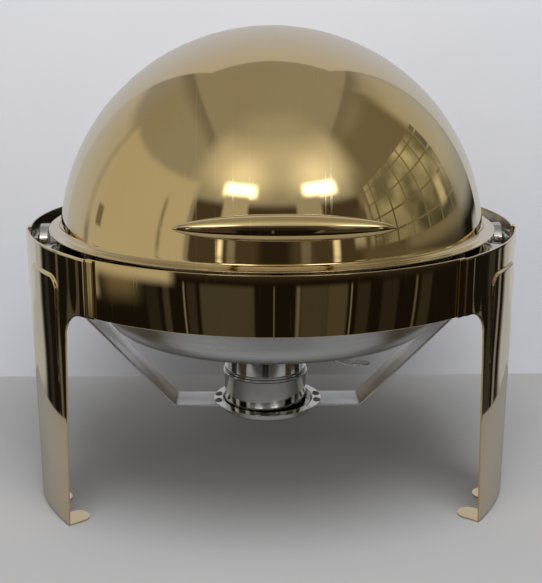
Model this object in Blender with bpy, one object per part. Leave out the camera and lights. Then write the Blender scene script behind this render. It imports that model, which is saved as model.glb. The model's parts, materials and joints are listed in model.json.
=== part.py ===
"""Roll-top chafing dish food warmer on a three-legged ring stand, in metres, +Z up.

The origin is on the table, under the centre of the ring. The front of the dish,
where the handle is, faces -Y. Azimuths are counted in degrees from the front,
positive towards +X. Heights named *_Z are above the table.
"""

from math import atan2, ceil, cos, degrees, hypot, pi, radians, sin, sqrt

import bmesh
import bpy
from mathutils import Matrix, Vector

MM = 0.001
GAP = 0.3 * MM              # clearance kept between neighbouring pieces
ROUND_STEPS = 48            # facets round the large turned pieces
ARC_STEP = 5.0              # degrees between facets of the stand's curved panels

# Heights of the main levels
SEAT_Z = 248.0 * MM         # underside of the cover's flange
PIVOT_Z = SEAT_Z - 16.5 * MM

# Cover
DOME_R = 200.0 * MM
DOME_WALL = 1.2 * MM
FLANGE_R = 210.0 * MM
FLANGE_FILLET = 5.0 * MM

# Ring stand
BAND_R = 227.0 * MM
SHEET = 1.5 * MM
BAND_TOP_Z = SEAT_Z + 2.5 * MM
BAND_LOW_Z = SEAT_Z - 46.6 * MM
LEG_R = 230.0 * MM
LEG_AZIMUTHS = {"leg_front_left": -61.8, "leg_front_right": 61.8, "leg_rear": 180.0}
LEG_WING = 21.5             # half angle of the panel where it laps the band
LEG_JOGGLE = 19.8           # half angle at which the panel steps in to the band
LEG_FLARE = 17.8            # half angle at the upper end of the fillets
LEG_HALF_TOP = 12.0         # half angle of the leg under the fillets
LEG_HALF_FOOT = 9.0
FILLET_HEIGHT = 20.0 * MM
EMBOSS_HALF = 8.5           # half angle of the pressed-out field
EMBOSS_RISE = 0.8 * MM
EMBOSS_TOP_Z = SEAT_Z - 20.0 * MM
LAP = 2.0                   # degrees of each band end hidden behind a leg panel
TAB_LENGTH = 25.0 * MM
TAB_INNER = 3.2             # half angle of the space between the two foot tabs
TAB_BEND = 2.5 * MM

# Pan seat
SHELF_INNER_R = 177.0 * MM
SHELF_RING_R = 190.0 * MM
SHELF_FRONT_R = 224.8 * MM
SHELF_TOP_Z = SEAT_Z - 8.0 * MM
SHELF_THICK = 1.5 * MM
PAD_R = 5.0 * MM
PAD_CIRCLE_R = 203.0 * MM
PAD_AZIMUTHS = (-50.0, 0.0, 50.0)

# Pans
PAN_WALL = 1.0 * MM
WATER_FLANGE_R = 187.0 * MM
WATER_TOP_R = 172.0 * MM
WATER_LOW_R = 161.0 * MM
WATER_CORNER = 18.0 * MM
WATER_BASE_Z = SEAT_Z - 95.0 * MM
FOOD_FLANGE_R = 189.0 * MM
FOOD_TOP_R = 163.0 * MM
FOOD_LOW_R = 153.0 * MM
FOOD_CORNER = 16.0 * MM
FOOD_BASE_Z = SEAT_Z - 66.0 * MM

# Burner
BURNER_X = -4.0 * MM         # the arms hang slightly to one side
BURNER_Y = -10.0 * MM
ARM_WIDTH = 38.0 * MM
ARM_THICK = 2.0 * MM
ARM_TAB_X = 222.3 * MM
ARM_KINK_X = 90.0 * MM
ARM_END_X = 45.5 * MM
ARM_BOLT_R = 2.4 * MM
RIVET_R = 2.2 * MM
RIVET_OUT = 48.5 * MM        # rivets from the tray's centre, along and across the arms
RIVET_SIDE = 9.0 * MM
TRAY_R = 53.0 * MM
TRAY_WELL_R = 43.0 * MM
TRAY_RIM_Z = SEAT_Z - 174.2 * MM
TRAY_DEPTH = 9.0 * MM
TRAY_SHEET = 1.0 * MM
CUP_X = BURNER_X - 2.3 * MM    # the cup stands loose in the tray's well
CUP_R = 39.9 * MM
CUP_WALL = 0.8 * MM
CUP_RIM_Z = SEAT_Z - 143.5 * MM
COLLAR_R = 38.1 * MM
COLLAR_TOP_Z = SEAT_Z - 126.0 * MM
FLAME_R = 22.0 * MM
DAMPER_R = 25.0 * MM
DAMPER_SHEET = 1.2 * MM
DAMPER_PIVOT_R = 31.0 * MM
LEVER_ANGLE = -19.0         # direction of the damper lever, degrees from +X
LEVER_LENGTH = 65.0 * MM
LEVER_DROP = 5.5 * MM

# Pivots of the cover
BRACKET_X = (211.8 * MM, 221.0 * MM)
BRACKET_HALF = 16.0 * MM
EAR_X = (202.5 * MM, 205.0 * MM)
EAR_FOOT_X = (200.6 * MM, 209.5 * MM)
EAR_R = 12.0 * MM
PIVOT_R = 4.0 * MM
BOLT_HEAD_X = 198.0 * MM
WASHER_X = 201.3 * MM
WASHER_R = 7.5 * MM
SPACER_R = 8.0 * MM
STOP_R = 2.0 * MM
STOP_PLACE = (11.8 * MM, -9.4 * MM)  # y and height from the pivot, inside the ear's foot at 90 degrees

# Handle
HANDLE_X = 4.0 * MM          # the handle is fixed slightly to one side
HANDLE_LENGTH = 169.0 * MM
HANDLE_R = 10.6 * MM
HANDLE_FULLNESS = 0.6        # lower is blunter at the ends
HANDLE_Y = -221.5 * MM
HANDLE_Z = SEAT_Z + 38.0 * MM
POST_X = 45.0 * MM
POST_R = 5.5 * MM
SCREW_R = 2.2 * MM

PALETTE = {
    "gold": ((0.66, 0.52, 0.27, 1.0), 0.12, 1.0),
    "steel": ((0.62, 0.62, 0.60, 1.0), 0.22, 1.0),
    "brushed_steel": ((0.52, 0.52, 0.51, 1.0), 0.38, 1.0),
    "rubber": ((0.03, 0.03, 0.03, 1.0), 0.75, 0.0),
    "nylon": ((0.78, 0.77, 0.72, 1.0), 0.55, 0.0),
}


def material(kind):
    """The shared material of one kind of metal, rubber or plastic."""
    found = bpy.data.materials.get(kind)
    if found:
        return found
    colour, roughness, metallic = PALETTE[kind]
    made = bpy.data.materials.new(kind)
    made.use_nodes = True
    shader = made.node_tree.nodes["Principled BSDF"]
    shader.inputs["Base Color"].default_value = colour
    shader.inputs["Roughness"].default_value = roughness
    shader.inputs["Metallic"].default_value = metallic
    return made


def finish(name, mesh, kind, origin=(0.0, 0.0, 0.0)):
    """Turn a bmesh in world coordinates into a named object with its origin at a point."""
    bmesh.ops.recalc_face_normals(mesh, faces=mesh.faces)
    bmesh.ops.translate(mesh, verts=mesh.verts, vec=-Vector(origin))
    data = bpy.data.meshes.new(name)
    mesh.to_mesh(data)
    mesh.free()
    data.shade_smooth()
    data.set_sharp_from_angle(angle=radians(35.0))
    data.materials.append(material(kind))
    piece = bpy.data.objects.new(name, data)
    piece.location = origin
    bpy.context.collection.objects.link(piece)
    return piece


def polar(radius, azimuth, z):
    """A point at an azimuth in degrees from the front."""
    return (radius * sin(radians(azimuth)), -radius * cos(radians(azimuth)), z)


def turned(profile, steps=ROUND_STEPS, closed=True):
    """A bmesh of a profile of (radius, height) points turned about +Z.

    A closed profile is a ring's section; an open one starts and ends on the axis.
    """
    mesh = bmesh.new()
    rings = []
    for radius, height in profile:
        if radius < 1e-7:
            rings.append([mesh.verts.new((0.0, 0.0, height))])
            continue
        turn = [2.0 * pi * step / steps for step in range(steps)]
        rings.append([mesh.verts.new((radius * cos(a), radius * sin(a), height)) for a in turn])
    pairs = list(zip(rings, rings[1:]))
    if closed:
        pairs.append((rings[-1], rings[0]))
    for low, high in pairs:
        for step in range(steps):
            after = (step + 1) % steps
            if len(low) == 1 and len(high) == 1:
                continue
            if len(low) == 1:
                mesh.faces.new((low[0], high[step], high[after]))
            elif len(high) == 1:
                mesh.faces.new((low[step], low[after], high[0]))
            else:
                mesh.faces.new((low[step], low[after], high[after], high[step]))
    return mesh


def move(mesh, matrix):
    """Transform a whole bmesh and hand it back."""
    bmesh.ops.transform(mesh, matrix=matrix, verts=mesh.verts)
    return mesh


def shift(mesh, x=0.0, y=0.0, z=0.0):
    return move(mesh, Matrix.Translation((x, y, z)))


def along(direction):
    """The rotation that turns +Z to a direction."""
    return Vector((0.0, 0.0, 1.0)).rotation_difference(Vector(direction)).to_matrix().to_4x4()


def prism(outline, to_point, depths):
    """A bmesh of an outline of 2D points, extruded between two depths.

    to_point(a, b, depth) places a point of the outline in space.
    """
    mesh = bmesh.new()
    near, far = [[mesh.verts.new(to_point(a, b, depth)) for a, b in outline] for depth in depths]
    mesh.faces.new(near)
    mesh.faces.new(list(reversed(far)))
    count = len(outline)
    for step in range(count):
        after = (step + 1) % count
        mesh.faces.new((near[after], near[step], far[step], far[after]))
    return mesh


def arc(centre, radius, start, end, steps):
    """Points on an arc, with angles in degrees, both ends included."""
    turn = [radians(start + (end - start) * step / steps) for step in range(steps + 1)]
    return [(centre[0] + radius * cos(a), centre[1] + radius * sin(a)) for a in turn]


def combine(piece, tool, operation):
    """Cut a piece with a tool, or join the tool to it; the tool is then only a guide."""
    tool.hide_render = True
    tool.display_type = "WIRE"
    change = piece.modifiers.new(operation.lower(), "BOOLEAN")
    change.operation = operation
    change.object = tool
    change.solver = "EXACT"


def round_cutter(name, start, end, radius, steps=20):
    """A cylindrical cutter between two points."""
    start = Vector(start)
    run = Vector(end) - start
    profile = [(0.0, 0.0), (radius, 0.0), (radius, run.length), (0.0, run.length)]
    mesh = turned(profile, steps, closed=False)
    move(mesh, Matrix.Translation(start) @ along(run))
    return finish(name, mesh, "steel")


def thicken(piece, thickness):
    """Give a sheet its thickness on the side away from its normals."""
    solid = piece.modifiers.new("sheet", "SOLIDIFY")
    solid.thickness = thickness
    solid.offset = -1.0
    solid.use_even_offset = True


# ---------------------------------------------------------------- ring stand

def band(name, start, end):
    """One curved length of the ring between two azimuths."""
    steps = ceil((end - start) / ARC_STEP)
    section = [(BAND_R - SHEET, BAND_LOW_Z), (BAND_R, BAND_LOW_Z),
               (BAND_R, BAND_TOP_Z), (BAND_R - SHEET, BAND_TOP_Z)]
    mesh = bmesh.new()
    rows = []
    for step in range(steps + 1):
        azimuth = start + (end - start) * step / steps
        rows.append([mesh.verts.new(polar(radius, azimuth, z)) for radius, z in section])
    for here, there in zip(rows, rows[1:]):
        for corner in range(4):
            after = (corner + 1) % 4
            mesh.faces.new((here[corner], here[after], there[after], there[corner]))
    mesh.faces.new(rows[0])
    mesh.faces.new(list(reversed(rows[-1])))
    return finish(name, mesh, "gold")


def leg_half(z):
    """Half angle of the leg at a height, without the fillets."""
    down = (BAND_LOW_Z - z) / BAND_LOW_Z
    return LEG_HALF_TOP + (LEG_HALF_FOOT - LEG_HALF_TOP) * max(0.0, min(1.0, down))


def leg_rows():
    """Rows of the leg below the band: (height, half angle)."""
    flare = LEG_FLARE - LEG_HALF_TOP
    rows = []
    for step in range(5):
        turn = radians(22.5 * step)
        z = BAND_LOW_Z - FILLET_HEIGHT * (1.0 - cos(turn))
        rows.append((z, leg_half(z) + flare * (1.0 - sin(turn))))
    straight_top = rows[-1][0]
    for step in range(1, 3):
        z = straight_top + (TAB_BEND - straight_top) * step / 2.0
        rows.append((z, leg_half(z)))
    return rows


def leg_columns(z, half):
    """Angles of the panel's columns at a row, from its left edge to its right edge."""
    shrink = leg_half(z) / LEG_HALF_TOP
    field = [0.0, 2.5, TAB_INNER * LEG_HALF_TOP / LEG_HALF_FOOT, 5.0, EMBOSS_HALF - 1.0, EMBOSS_HALF]
    inner = [angle * shrink for angle in field]
    flank = [inner[-1] + (half - inner[-1]) * step / 3.0 for step in range(1, 4)]
    right = inner + flank
    return [-angle for angle in reversed(right)] + right[1:]


def leg_radius(column, columns, z):
    """The pressed-out field stands proud of the panel."""
    middle = columns // 2
    away = abs(column - middle)
    raised = away <= 4 and z <= EMBOSS_TOP_Z - 1.0 * MM
    return LEG_R + (EMBOSS_RISE if raised else 0.0)


def foot_tab(mesh, bottom, angles, centre):
    """Bend one tab inwards from the lowest row of a leg and round its end."""
    middle = (angles[0] + angles[-1]) / 2.0
    half = abs(angles[-1] - angles[0]) / 2.0
    rows = [bottom]
    for turn in (45.0, 90.0):
        inset = TAB_BEND * (1.0 - cos(radians(turn)))
        z = TAB_BEND * (1.0 - sin(radians(turn)))
        radii = [LEG_R - inset for _ in angles]
        rows.append([mesh.verts.new(polar(r, centre + a, z)) for r, a in zip(radii, angles)])
    for share in (0.5, 1.0):
        radii = []
        for angle in angles:
            across = min(1.0, abs(angle - middle) / half)
            round_off = 8.0 * MM * (1.0 - sqrt(1.0 - 0.9 * across * across))
            radii.append(LEG_R - TAB_BEND - (TAB_LENGTH - TAB_BEND - round_off) * share)
        rows.append([mesh.verts.new(polar(r, centre + a, 0.0)) for r, a in zip(radii, angles)])
    for upper, lower in zip(rows, rows[1:]):
        for step in range(len(angles) - 1):
            mesh.faces.new((upper[step], lower[step], lower[step + 1], upper[step + 1]))


def leg(name, centre):
    """One leg panel: a lapped wing each side, a flared leg and two bent foot tabs."""
    mesh = bmesh.new()
    core = leg_columns(BAND_LOW_Z, LEG_FLARE)
    columns = len(core)
    wing = [LEG_JOGGLE, LEG_JOGGLE + 0.8, LEG_WING]
    angles = [-angle for angle in reversed(wing)] + core + wing
    lap_r = BAND_R + GAP + SHEET
    head = []
    for z in (BAND_TOP_Z, EMBOSS_TOP_Z, EMBOSS_TOP_Z - 1.5 * MM, BAND_LOW_Z):
        row = []
        for step, angle in enumerate(angles):
            lapped = step < 2 or step >= columns + 4
            radius = lap_r if lapped else leg_radius(step - 3, columns, z)
            row.append(mesh.verts.new(polar(radius, centre + angle, z)))
        head.append(row)
    for upper, lower in zip(head, head[1:]):
        for step in range(len(angles) - 1):
            mesh.faces.new((upper[step], lower[step], lower[step + 1], upper[step + 1]))
    previous = head[-1][3:-3]
    for z, half in leg_rows()[1:]:
        angles = leg_columns(z, half)
        row = []
        for step, angle in enumerate(angles):
            at_foot = z <= TAB_BEND + 1e-6
            radius = LEG_R if at_foot else leg_radius(step, columns, z)
            row.append(mesh.verts.new(polar(radius, centre + angle, z)))
        for step in range(columns - 1):
            mesh.faces.new((previous[step], row[step], row[step + 1], previous[step + 1]))
        previous = row
    tab_columns = 7
    foot_tab(mesh, previous[:tab_columns], angles[:tab_columns], centre)
    foot_tab(mesh, previous[-tab_columns:], angles[-tab_columns:], centre)
    piece = finish(name, mesh, "gold")
    thicken(piece, SHEET)
    return piece


def shelf_outer(azimuth):
    """Outer radius of the pan seat: wide at the front, a slim ring behind the pivots."""
    share = max(0.0, min(1.0, (80.0 - abs(azimuth)) / 10.0))
    return SHELF_RING_R + (SHELF_FRONT_R - SHELF_RING_R) * share


def pan_shelf():
    """The flat seat for the pans, joined to the band at the front."""
    mesh = bmesh.new()
    steps = ROUND_STEPS
    corners = []
    for step in range(steps):
        azimuth = -180.0 + 360.0 * step / steps
        outer = shelf_outer(azimuth)
        low = SHELF_TOP_Z - SHELF_THICK
        corners.append([mesh.verts.new(polar(radius, azimuth, z)) for radius, z in (
            (SHELF_INNER_R, low), (outer, low), (outer, SHELF_TOP_Z), (SHELF_INNER_R, SHELF_TOP_Z))])
    for step in range(steps):
        here = corners[step]
        there = corners[(step + 1) % steps]
        for corner in range(4):
            after = (corner + 1) % 4
            mesh.faces.new((here[corner], here[after], there[after], there[corner]))
    return finish("pan_shelf", mesh, "steel")


def rest_pad(name, azimuth):
    """A rubber button under the cover's flange."""
    low = SHELF_TOP_Z + GAP
    high = SEAT_Z - GAP
    profile = [(0.0, low), (PAD_R, low), (PAD_R, high - 1.5 * MM), (PAD_R - 1.5 * MM, high), (0.0, high)]
    x, y, _ = polar(PAD_CIRCLE_R, azimuth, 0.0)
    return finish(name, shift(turned(profile, 12, closed=False), x, y), "rubber", (x, y, low))


# ------------------------------------------------------------- cover pivots

def at_side(side):
    """Place an (y, z) outline at a distance x from the middle, on one side."""
    return lambda y, z, x: (side * x, y, PIVOT_Z + z)


def pivot_bracket(name, side):
    """The block on the inside of the ring that carries the pivot bolt."""
    half = BRACKET_HALF
    corner = 5.0 * MM
    low = -13.5 * MM
    high = 15.5 * MM
    outline = [(-half, high), (-half, low + corner)]
    outline += arc((-half + corner, low + corner), corner, 180.0, 270.0, 4)
    outline += arc((half - corner, low + corner), corner, 270.0, 360.0, 4)
    outline += [(half, high)]
    origin = (side * BRACKET_X[0], 0.0, PIVOT_Z)
    piece = finish(name, prism(outline, at_side(side), BRACKET_X), "steel", origin)
    bore_end = BRACKET_X[1] - 1.5 * MM
    outside = BRACKET_X[0] - 5.0 * MM
    bore = round_cutter(name + "_bore", (side * outside, 0.0, PIVOT_Z),
                        (side * bore_end, 0.0, PIVOT_Z), PIVOT_R + GAP)
    combine(piece, bore, "DIFFERENCE")
    y, z = STOP_PLACE
    socket = round_cutter(name + "_socket", (side * outside, y, PIVOT_Z + z),
                          (side * (BRACKET_X[0] + 6.0 * MM), y, PIVOT_Z + z), STOP_R + GAP, 12)
    combine(piece, socket, "DIFFERENCE")
    return piece


def stop_pin(name, side):
    """The dowel that the cover's ear meets when the cover is open."""
    y, z = STOP_PLACE
    start = EAR_X[1] + 1.2 * MM
    end = BRACKET_X[0] + 5.5 * MM
    profile = [(0.0, 0.0), (STOP_R, 0.0), (STOP_R, end - start), (0.0, end - start)]
    mesh = turned(profile, 12, closed=False)
    move(mesh, Matrix.Translation((side * start, y, PIVOT_Z + z)) @ along((side, 0.0, 0.0)))
    return finish(name, mesh, "steel", (side * start, y, PIVOT_Z + z))


def pivot_bolt(name, side):
    """Shoulder bolt with its head inside, screwed into the bracket."""
    head = 3.0 * MM
    reach = BRACKET_X[1] - 2.0 * MM - BOLT_HEAD_X
    profile = [(0.0, 0.0), (5.0 * MM, 0.0), (6.5 * MM, 1.0 * MM), (6.5 * MM, head), (PIVOT_R, head),
               (PIVOT_R, reach), (0.0, reach)]
    mesh = turned(profile, 16, closed=False)
    place = (side * BOLT_HEAD_X, 0.0, PIVOT_Z)
    move(mesh, Matrix.Translation(place) @ along((side, 0.0, 0.0)))
    return finish(name, mesh, "steel", place)


def pivot_ring(name, side, span, radius, kind):
    """A washer or a spacer round the pivot bolt."""
    bore = PIVOT_R + GAP
    length = span[1] - span[0]
    profile = [(bore, 0.0), (radius, 0.0), (radius, length), (bore, length)]
    place = (side * span[0], 0.0, PIVOT_Z)
    mesh = move(turned(profile, 16), Matrix.Translation(place) @ along((side, 0.0, 0.0)))
    return finish(name, mesh, kind, place)


def pivot_ear(name, side):
    """The cover's hinge ear: a foot under the flange and a round-ended plate below it."""
    foot_high = SEAT_Z - PIVOT_Z - GAP
    foot_low = foot_high - 2.0 * MM
    outline = [(EAR_R, foot_low + 0.5 * MM)] + [(-EAR_R, foot_low + 0.5 * MM)]
    outline += arc((0.0, 0.0), EAR_R, 180.0, 360.0, 14)
    origin = (side * EAR_X[0], 0.0, PIVOT_Z)
    plate = finish(name, prism(outline, at_side(side), EAR_X), "steel", origin)
    half = BRACKET_HALF
    foot_outline = [(-half, foot_low), (half, foot_low), (half, foot_high), (-half, foot_high)]
    foot = finish(name + "_foot", prism(foot_outline, at_side(side), EAR_FOOT_X), "steel")
    combine(plate, foot, "UNION")
    hole = round_cutter(name + "_hole", (side * (EAR_X[0] - 3.0 * MM), 0.0, PIVOT_Z),
                        (side * (EAR_X[1] + 3.5 * MM), 0.0, PIVOT_Z), PIVOT_R + GAP + 0.1 * MM)
    combine(plate, hole, "DIFFERENCE")
    return plate


# ------------------------------------------------------------------- cover

def cover_profile():
    """Section of the dome and its flange, from the top centre, out, and back inside."""
    rise = SEAT_Z + DOME_WALL + FLANGE_FILLET - PIVOT_Z
    fillet_r = sqrt((DOME_R + FLANGE_FILLET) ** 2 - rise ** 2)
    meet = degrees(atan2(rise, fillet_r))
    steps = 10
    outer = []
    for step in range(steps + 1):
        climb = radians(90.0 + (meet - 90.0) * step / steps)
        outer.append((DOME_R * cos(climb), PIVOT_Z + DOME_R * sin(climb)))
    fillet_centre = (fillet_r, PIVOT_Z + rise)
    turned_in = arc(fillet_centre, FLANGE_FILLET, 180.0 + meet, 270.0, 3)[1:]
    edge = [(FLANGE_R, SEAT_Z + DOME_WALL), (FLANGE_R, SEAT_Z)]
    inner_r = DOME_R - DOME_WALL
    mouth = degrees(atan2(SEAT_Z + 1.0 * MM - PIVOT_Z, inner_r))
    inner = [(inner_r + 0.6 * MM, SEAT_Z)]
    for step in range(steps + 1):
        climb = radians(mouth + (90.0 - mouth) * step / steps)
        inner.append((inner_r * cos(climb), PIVOT_Z + inner_r * sin(climb)))
    outer[0] = (0.0, outer[0][1])
    inner[-1] = (0.0, inner[-1][1])
    return outer + turned_in + edge + inner


def handle_frame():
    """Direction from the pivot axis to the handle, and the handle's distance from it."""
    rise = HANDLE_Z - PIVOT_Z
    reach = hypot(HANDLE_Y, rise)
    return Vector((0.0, HANDLE_Y / reach, rise / reach)), reach


def handle_radius(x):
    """Half thickness of the spindle-shaped handle at a distance from its middle."""
    return HANDLE_R * (1.0 - (2.0 * x / HANDLE_LENGTH) ** 2) ** HANDLE_FULLNESS


def cover_shell():
    """The spun dome with its flat flange and two screw holes for the handle."""
    origin = (0.0, 0.0, PIVOT_Z)
    shell = finish("cover_shell", turned(cover_profile(), closed=False), "gold", origin)
    out, _ = handle_frame()
    for side in (-1.0, 1.0):
        middle = Vector((HANDLE_X + side * POST_X, 0.0, PIVOT_Z))
        start = middle + out * (DOME_R - 11.0 * MM)
        end = middle + out * (DOME_R + 1.0 * MM)
        hole = round_cutter("screw_hole_" + ("l" if side < 0 else "r"), start, end, SCREW_R + GAP, 12)
        combine(shell, hole, "DIFFERENCE")
    return shell


def cover_handle():
    """The spindle-shaped bar in front of the dome."""
    steps = 16
    profile = []
    for step in range(steps + 1):
        x = -HANDLE_LENGTH / 2.0 * cos(pi * step / steps)
        profile.append((handle_radius(x) if 0 < step < steps else 0.0, x))
    place = (HANDLE_X, HANDLE_Y, HANDLE_Z)
    mesh = move(turned(profile, 16, closed=False), Matrix.Translation(place) @ along((1.0, 0.0, 0.0)))
    return finish("cover_handle", mesh, "gold", place)


def handle_post(name, side):
    """The short tube between the dome and the handle, bored for its screw."""
    out, reach = handle_frame()
    foot_r = POST_R + 1.0 * MM
    start = sqrt(DOME_R ** 2 - (abs(HANDLE_X + side * POST_X) - foot_r) ** 2) + GAP
    length = reach - handle_radius(POST_X - POST_R) - GAP - start
    bore = SCREW_R + GAP
    depth = 13.0 * MM
    profile = [(0.0, depth), (bore, depth), (bore, 0.0), (foot_r, 0.0), (POST_R, 3.0 * MM),
               (POST_R, length), (0.0, length)]
    mesh = turned(profile, 14, closed=False)
    place = Vector((HANDLE_X + side * POST_X, 0.0, PIVOT_Z)) + out * start
    return finish(name, move(mesh, Matrix.Translation(place) @ along(out)), "gold", place)


def handle_screw(name, side):
    """Pan-head screw from inside the dome into the handle's post."""
    out, _ = handle_frame()
    head_r = 5.2 * MM
    inside = sqrt((DOME_R - DOME_WALL) ** 2 - (abs(HANDLE_X + side * POST_X) + head_r) ** 2) - GAP - 0.7 * MM
    head = 2.4 * MM
    reach = 13.0 * MM
    profile = [(0.0, -head), (3.4 * MM, -head), (head_r, -head + 1.2 * MM), (head_r, 0.0),
               (SCREW_R, 0.0), (SCREW_R, reach), (0.0, reach)]
    place = Vector((HANDLE_X + side * POST_X, 0.0, PIVOT_Z)) + out * inside
    mesh = move(turned(profile, 12, closed=False), Matrix.Translation(place) @ along(out))
    return finish(name, mesh, "steel", place)


# -------------------------------------------------------------------- pans

def pan_profile(flange_r, flange_z, top_r, low_r, corner, base_z):
    """Closed section of a round pan: rolled rim, flange, tapered wall, rounded corner, flat base."""
    lean = atan2(top_r - low_r, flange_z - base_z)
    top_bend = 4.0 * MM
    outer = [(flange_r, flange_z - PAN_WALL), (top_r + top_bend, flange_z - PAN_WALL)]
    outer += [(top_r + 0.8 * MM, flange_z - PAN_WALL - 1.2 * MM), (top_r, flange_z - PAN_WALL - top_bend)]
    centre = (low_r - corner * cos(lean), base_z + corner)
    outer += arc(centre, corner, -degrees(lean), -90.0, 4)
    outer.append((0.0, base_z))
    inner = [(0.0, base_z + PAN_WALL)]
    inner += arc(centre, corner - PAN_WALL, -90.0, -degrees(lean), 4)
    inner += [(top_r - PAN_WALL, flange_z - top_bend), (top_r, flange_z - 1.0 * MM),
              (top_r + top_bend, flange_z), (flange_r, flange_z)]
    return outer, inner


def pan(name, shape, kind):
    """A pan from its section; the outside runs rim to centre, the inside centre to rim."""
    outer, inner = pan_profile(*shape)
    section = list(reversed(outer)) + list(reversed(inner))
    return finish(name, turned(section, closed=False), kind, (0.0, 0.0, shape[-1]))


# ------------------------------------------------------------------- burner

def rounded_path(points, radius, steps):
    """A path of 2D points with its inner corners rounded."""
    path = [Vector(points[0])]
    for before, here, after in zip(points, points[1:], points[2:]):
        here = Vector(here)
        to_before = (Vector(before) - here).normalized()
        to_after = (Vector(after) - here).normalized()
        opening = to_before.angle(to_after)
        cut = radius / (sin(opening / 2.0) / cos(opening / 2.0))
        start = here + to_before * cut
        end = here + to_after * cut
        for step in range(steps + 1):
            share = step / steps
            path.append(start * (1 - share) ** 2 + here * 2 * share * (1 - share) + end * share ** 2)
    path.append(Vector(points[-1]))
    return path


def strip_outline(path, thickness):
    """Closed outline of a strip that follows a path."""
    left = []
    right = []
    last = len(path) - 1
    for step, here in enumerate(path):
        back = (here - path[step - 1]).normalized() if step > 0 else None
        ahead = (path[step + 1] - here).normalized() if step < last else None
        back = back or ahead
        ahead = ahead or back
        normal = Vector((-(back.y + ahead.y), back.x + ahead.x)).normalized()
        stretch = thickness / 2.0 / normal.dot(Vector((-back.y, back.x)))
        left.append(here + normal * stretch)
        right.append(here - normal * stretch)
    return [tuple(point) for point in left + right[::-1]]


def burner_arm(name, side):
    """Flat strap from the ring down to the burner tray."""
    flat_z = TRAY_RIM_Z - TRAY_SHEET - GAP - ARM_THICK / 2.0
    offset = side * BURNER_X
    corners = [(ARM_TAB_X, SEAT_Z - 9.0 * MM), (ARM_TAB_X, SEAT_Z - 38.0 * MM),
               (ARM_KINK_X + offset, flat_z), (ARM_END_X + offset, flat_z)]
    outline = strip_outline(rounded_path(corners, 6.0 * MM, 4), ARM_THICK)
    sides = (BURNER_Y - ARM_WIDTH / 2.0, BURNER_Y + ARM_WIDTH / 2.0)
    mesh = prism(outline, lambda x, z, y: (side * x, y, z), sides)
    arm = finish(name, mesh, "brushed_steel")
    for place in rivet_places(side):
        hole = round_cutter(name + "_hole", place - Vector((0, 0, 8.0 * MM)),
                            place + Vector((0, 0, 4.0 * MM)), RIVET_R + GAP, 12)
        combine(arm, hole, "DIFFERENCE")
    bolt = Vector(arm_bolt_place(side))
    reach = Vector((side * 5.0 * MM, 0.0, 0.0))
    hole = round_cutter(name + "_bolt_hole", bolt - reach, bolt + reach, ARM_BOLT_R + GAP, 12)
    combine(arm, hole, "DIFFERENCE")
    return arm


def arm_bolt_place(side):
    """Inner face of the arm's tab, beside the pivot bracket."""
    return (side * (ARM_TAB_X - ARM_THICK / 2.0 - GAP), -21.5 * MM, SEAT_Z - 22.0 * MM)


def arm_bolt(name, side):
    """Hexagon-head bolt that holds the arm's tab to the ring."""
    head = 3.2 * MM
    reach = ARM_THICK + GAP
    profile = [(0.0, -reach), (ARM_BOLT_R, -reach), (ARM_BOLT_R, 0.0), (0.0, 0.0)]
    shank = turned(profile, 12, closed=False)
    place = Vector(arm_bolt_place(side))
    turn = Matrix.Translation(place) @ along((-side, 0.0, 0.0))
    head_profile = [(0.0, -0.2 * MM), (4.4 * MM, 0.0), (4.4 * MM, head - 0.6 * MM), (3.8 * MM, head),
                    (0.0, head)]
    body = finish(name, move(turned(head_profile, 6, closed=False), turn), "steel", place)
    combine(body, finish(name + "_shank", move(shank, turn), "steel"), "UNION")
    return body


def rivet_places(side):
    """Centres of a side's two rivets, on top of the tray's rim."""
    x = BURNER_X + side * RIVET_OUT
    return [Vector((x, BURNER_Y + across, TRAY_RIM_Z)) for across in (-RIVET_SIDE, RIVET_SIDE)]


def burner_tray():
    """Round tray with a sunk well that locates the fuel cup."""
    rim = TRAY_RIM_Z
    low = rim - TRAY_DEPTH
    well = TRAY_WELL_R
    sheet = TRAY_SHEET
    profile = [(0.0, low), (well - 2.0 * MM, low), (well, low + 2.0 * MM), (well, rim - 1.2 * MM),
               (well + 1.2 * MM, rim), (TRAY_R, rim), (TRAY_R, rim - sheet), (well + 2.2 * MM, rim - sheet),
               (well + sheet, rim - 3.0 * MM), (well + sheet, low + 1.0 * MM),
               (well - 1.0 * MM, low - sheet), (0.0, low - sheet)]
    mesh = shift(turned(profile, 40, closed=False), BURNER_X, BURNER_Y)
    tray = finish("burner_tray", mesh, "steel", (BURNER_X, BURNER_Y, rim))
    for side in (-1.0, 1.0):
        for place in rivet_places(side):
            hole = round_cutter("tray_hole", place - Vector((0, 0, 5.0 * MM)),
                                place + Vector((0, 0, 3.0 * MM)), RIVET_R + GAP, 12)
            combine(tray, hole, "DIFFERENCE")
    return tray


def tray_rivet(name, place):
    """A round-headed rivet through the tray's rim and the arm."""
    grip = TRAY_SHEET + GAP + ARM_THICK + GAP
    profile = [(0.0, GAP + 1.6 * MM), (2.2 * MM, GAP + 1.3 * MM), (3.8 * MM, GAP), (RIVET_R, GAP),
               (RIVET_R, -grip), (3.4 * MM, -grip), (3.0 * MM, -grip - 1.1 * MM), (0.0, -grip - 1.1 * MM)]
    mesh = shift(turned(profile, 12, closed=False), place.x, place.y, place.z)
    return finish(name, mesh, "steel", place)


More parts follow.
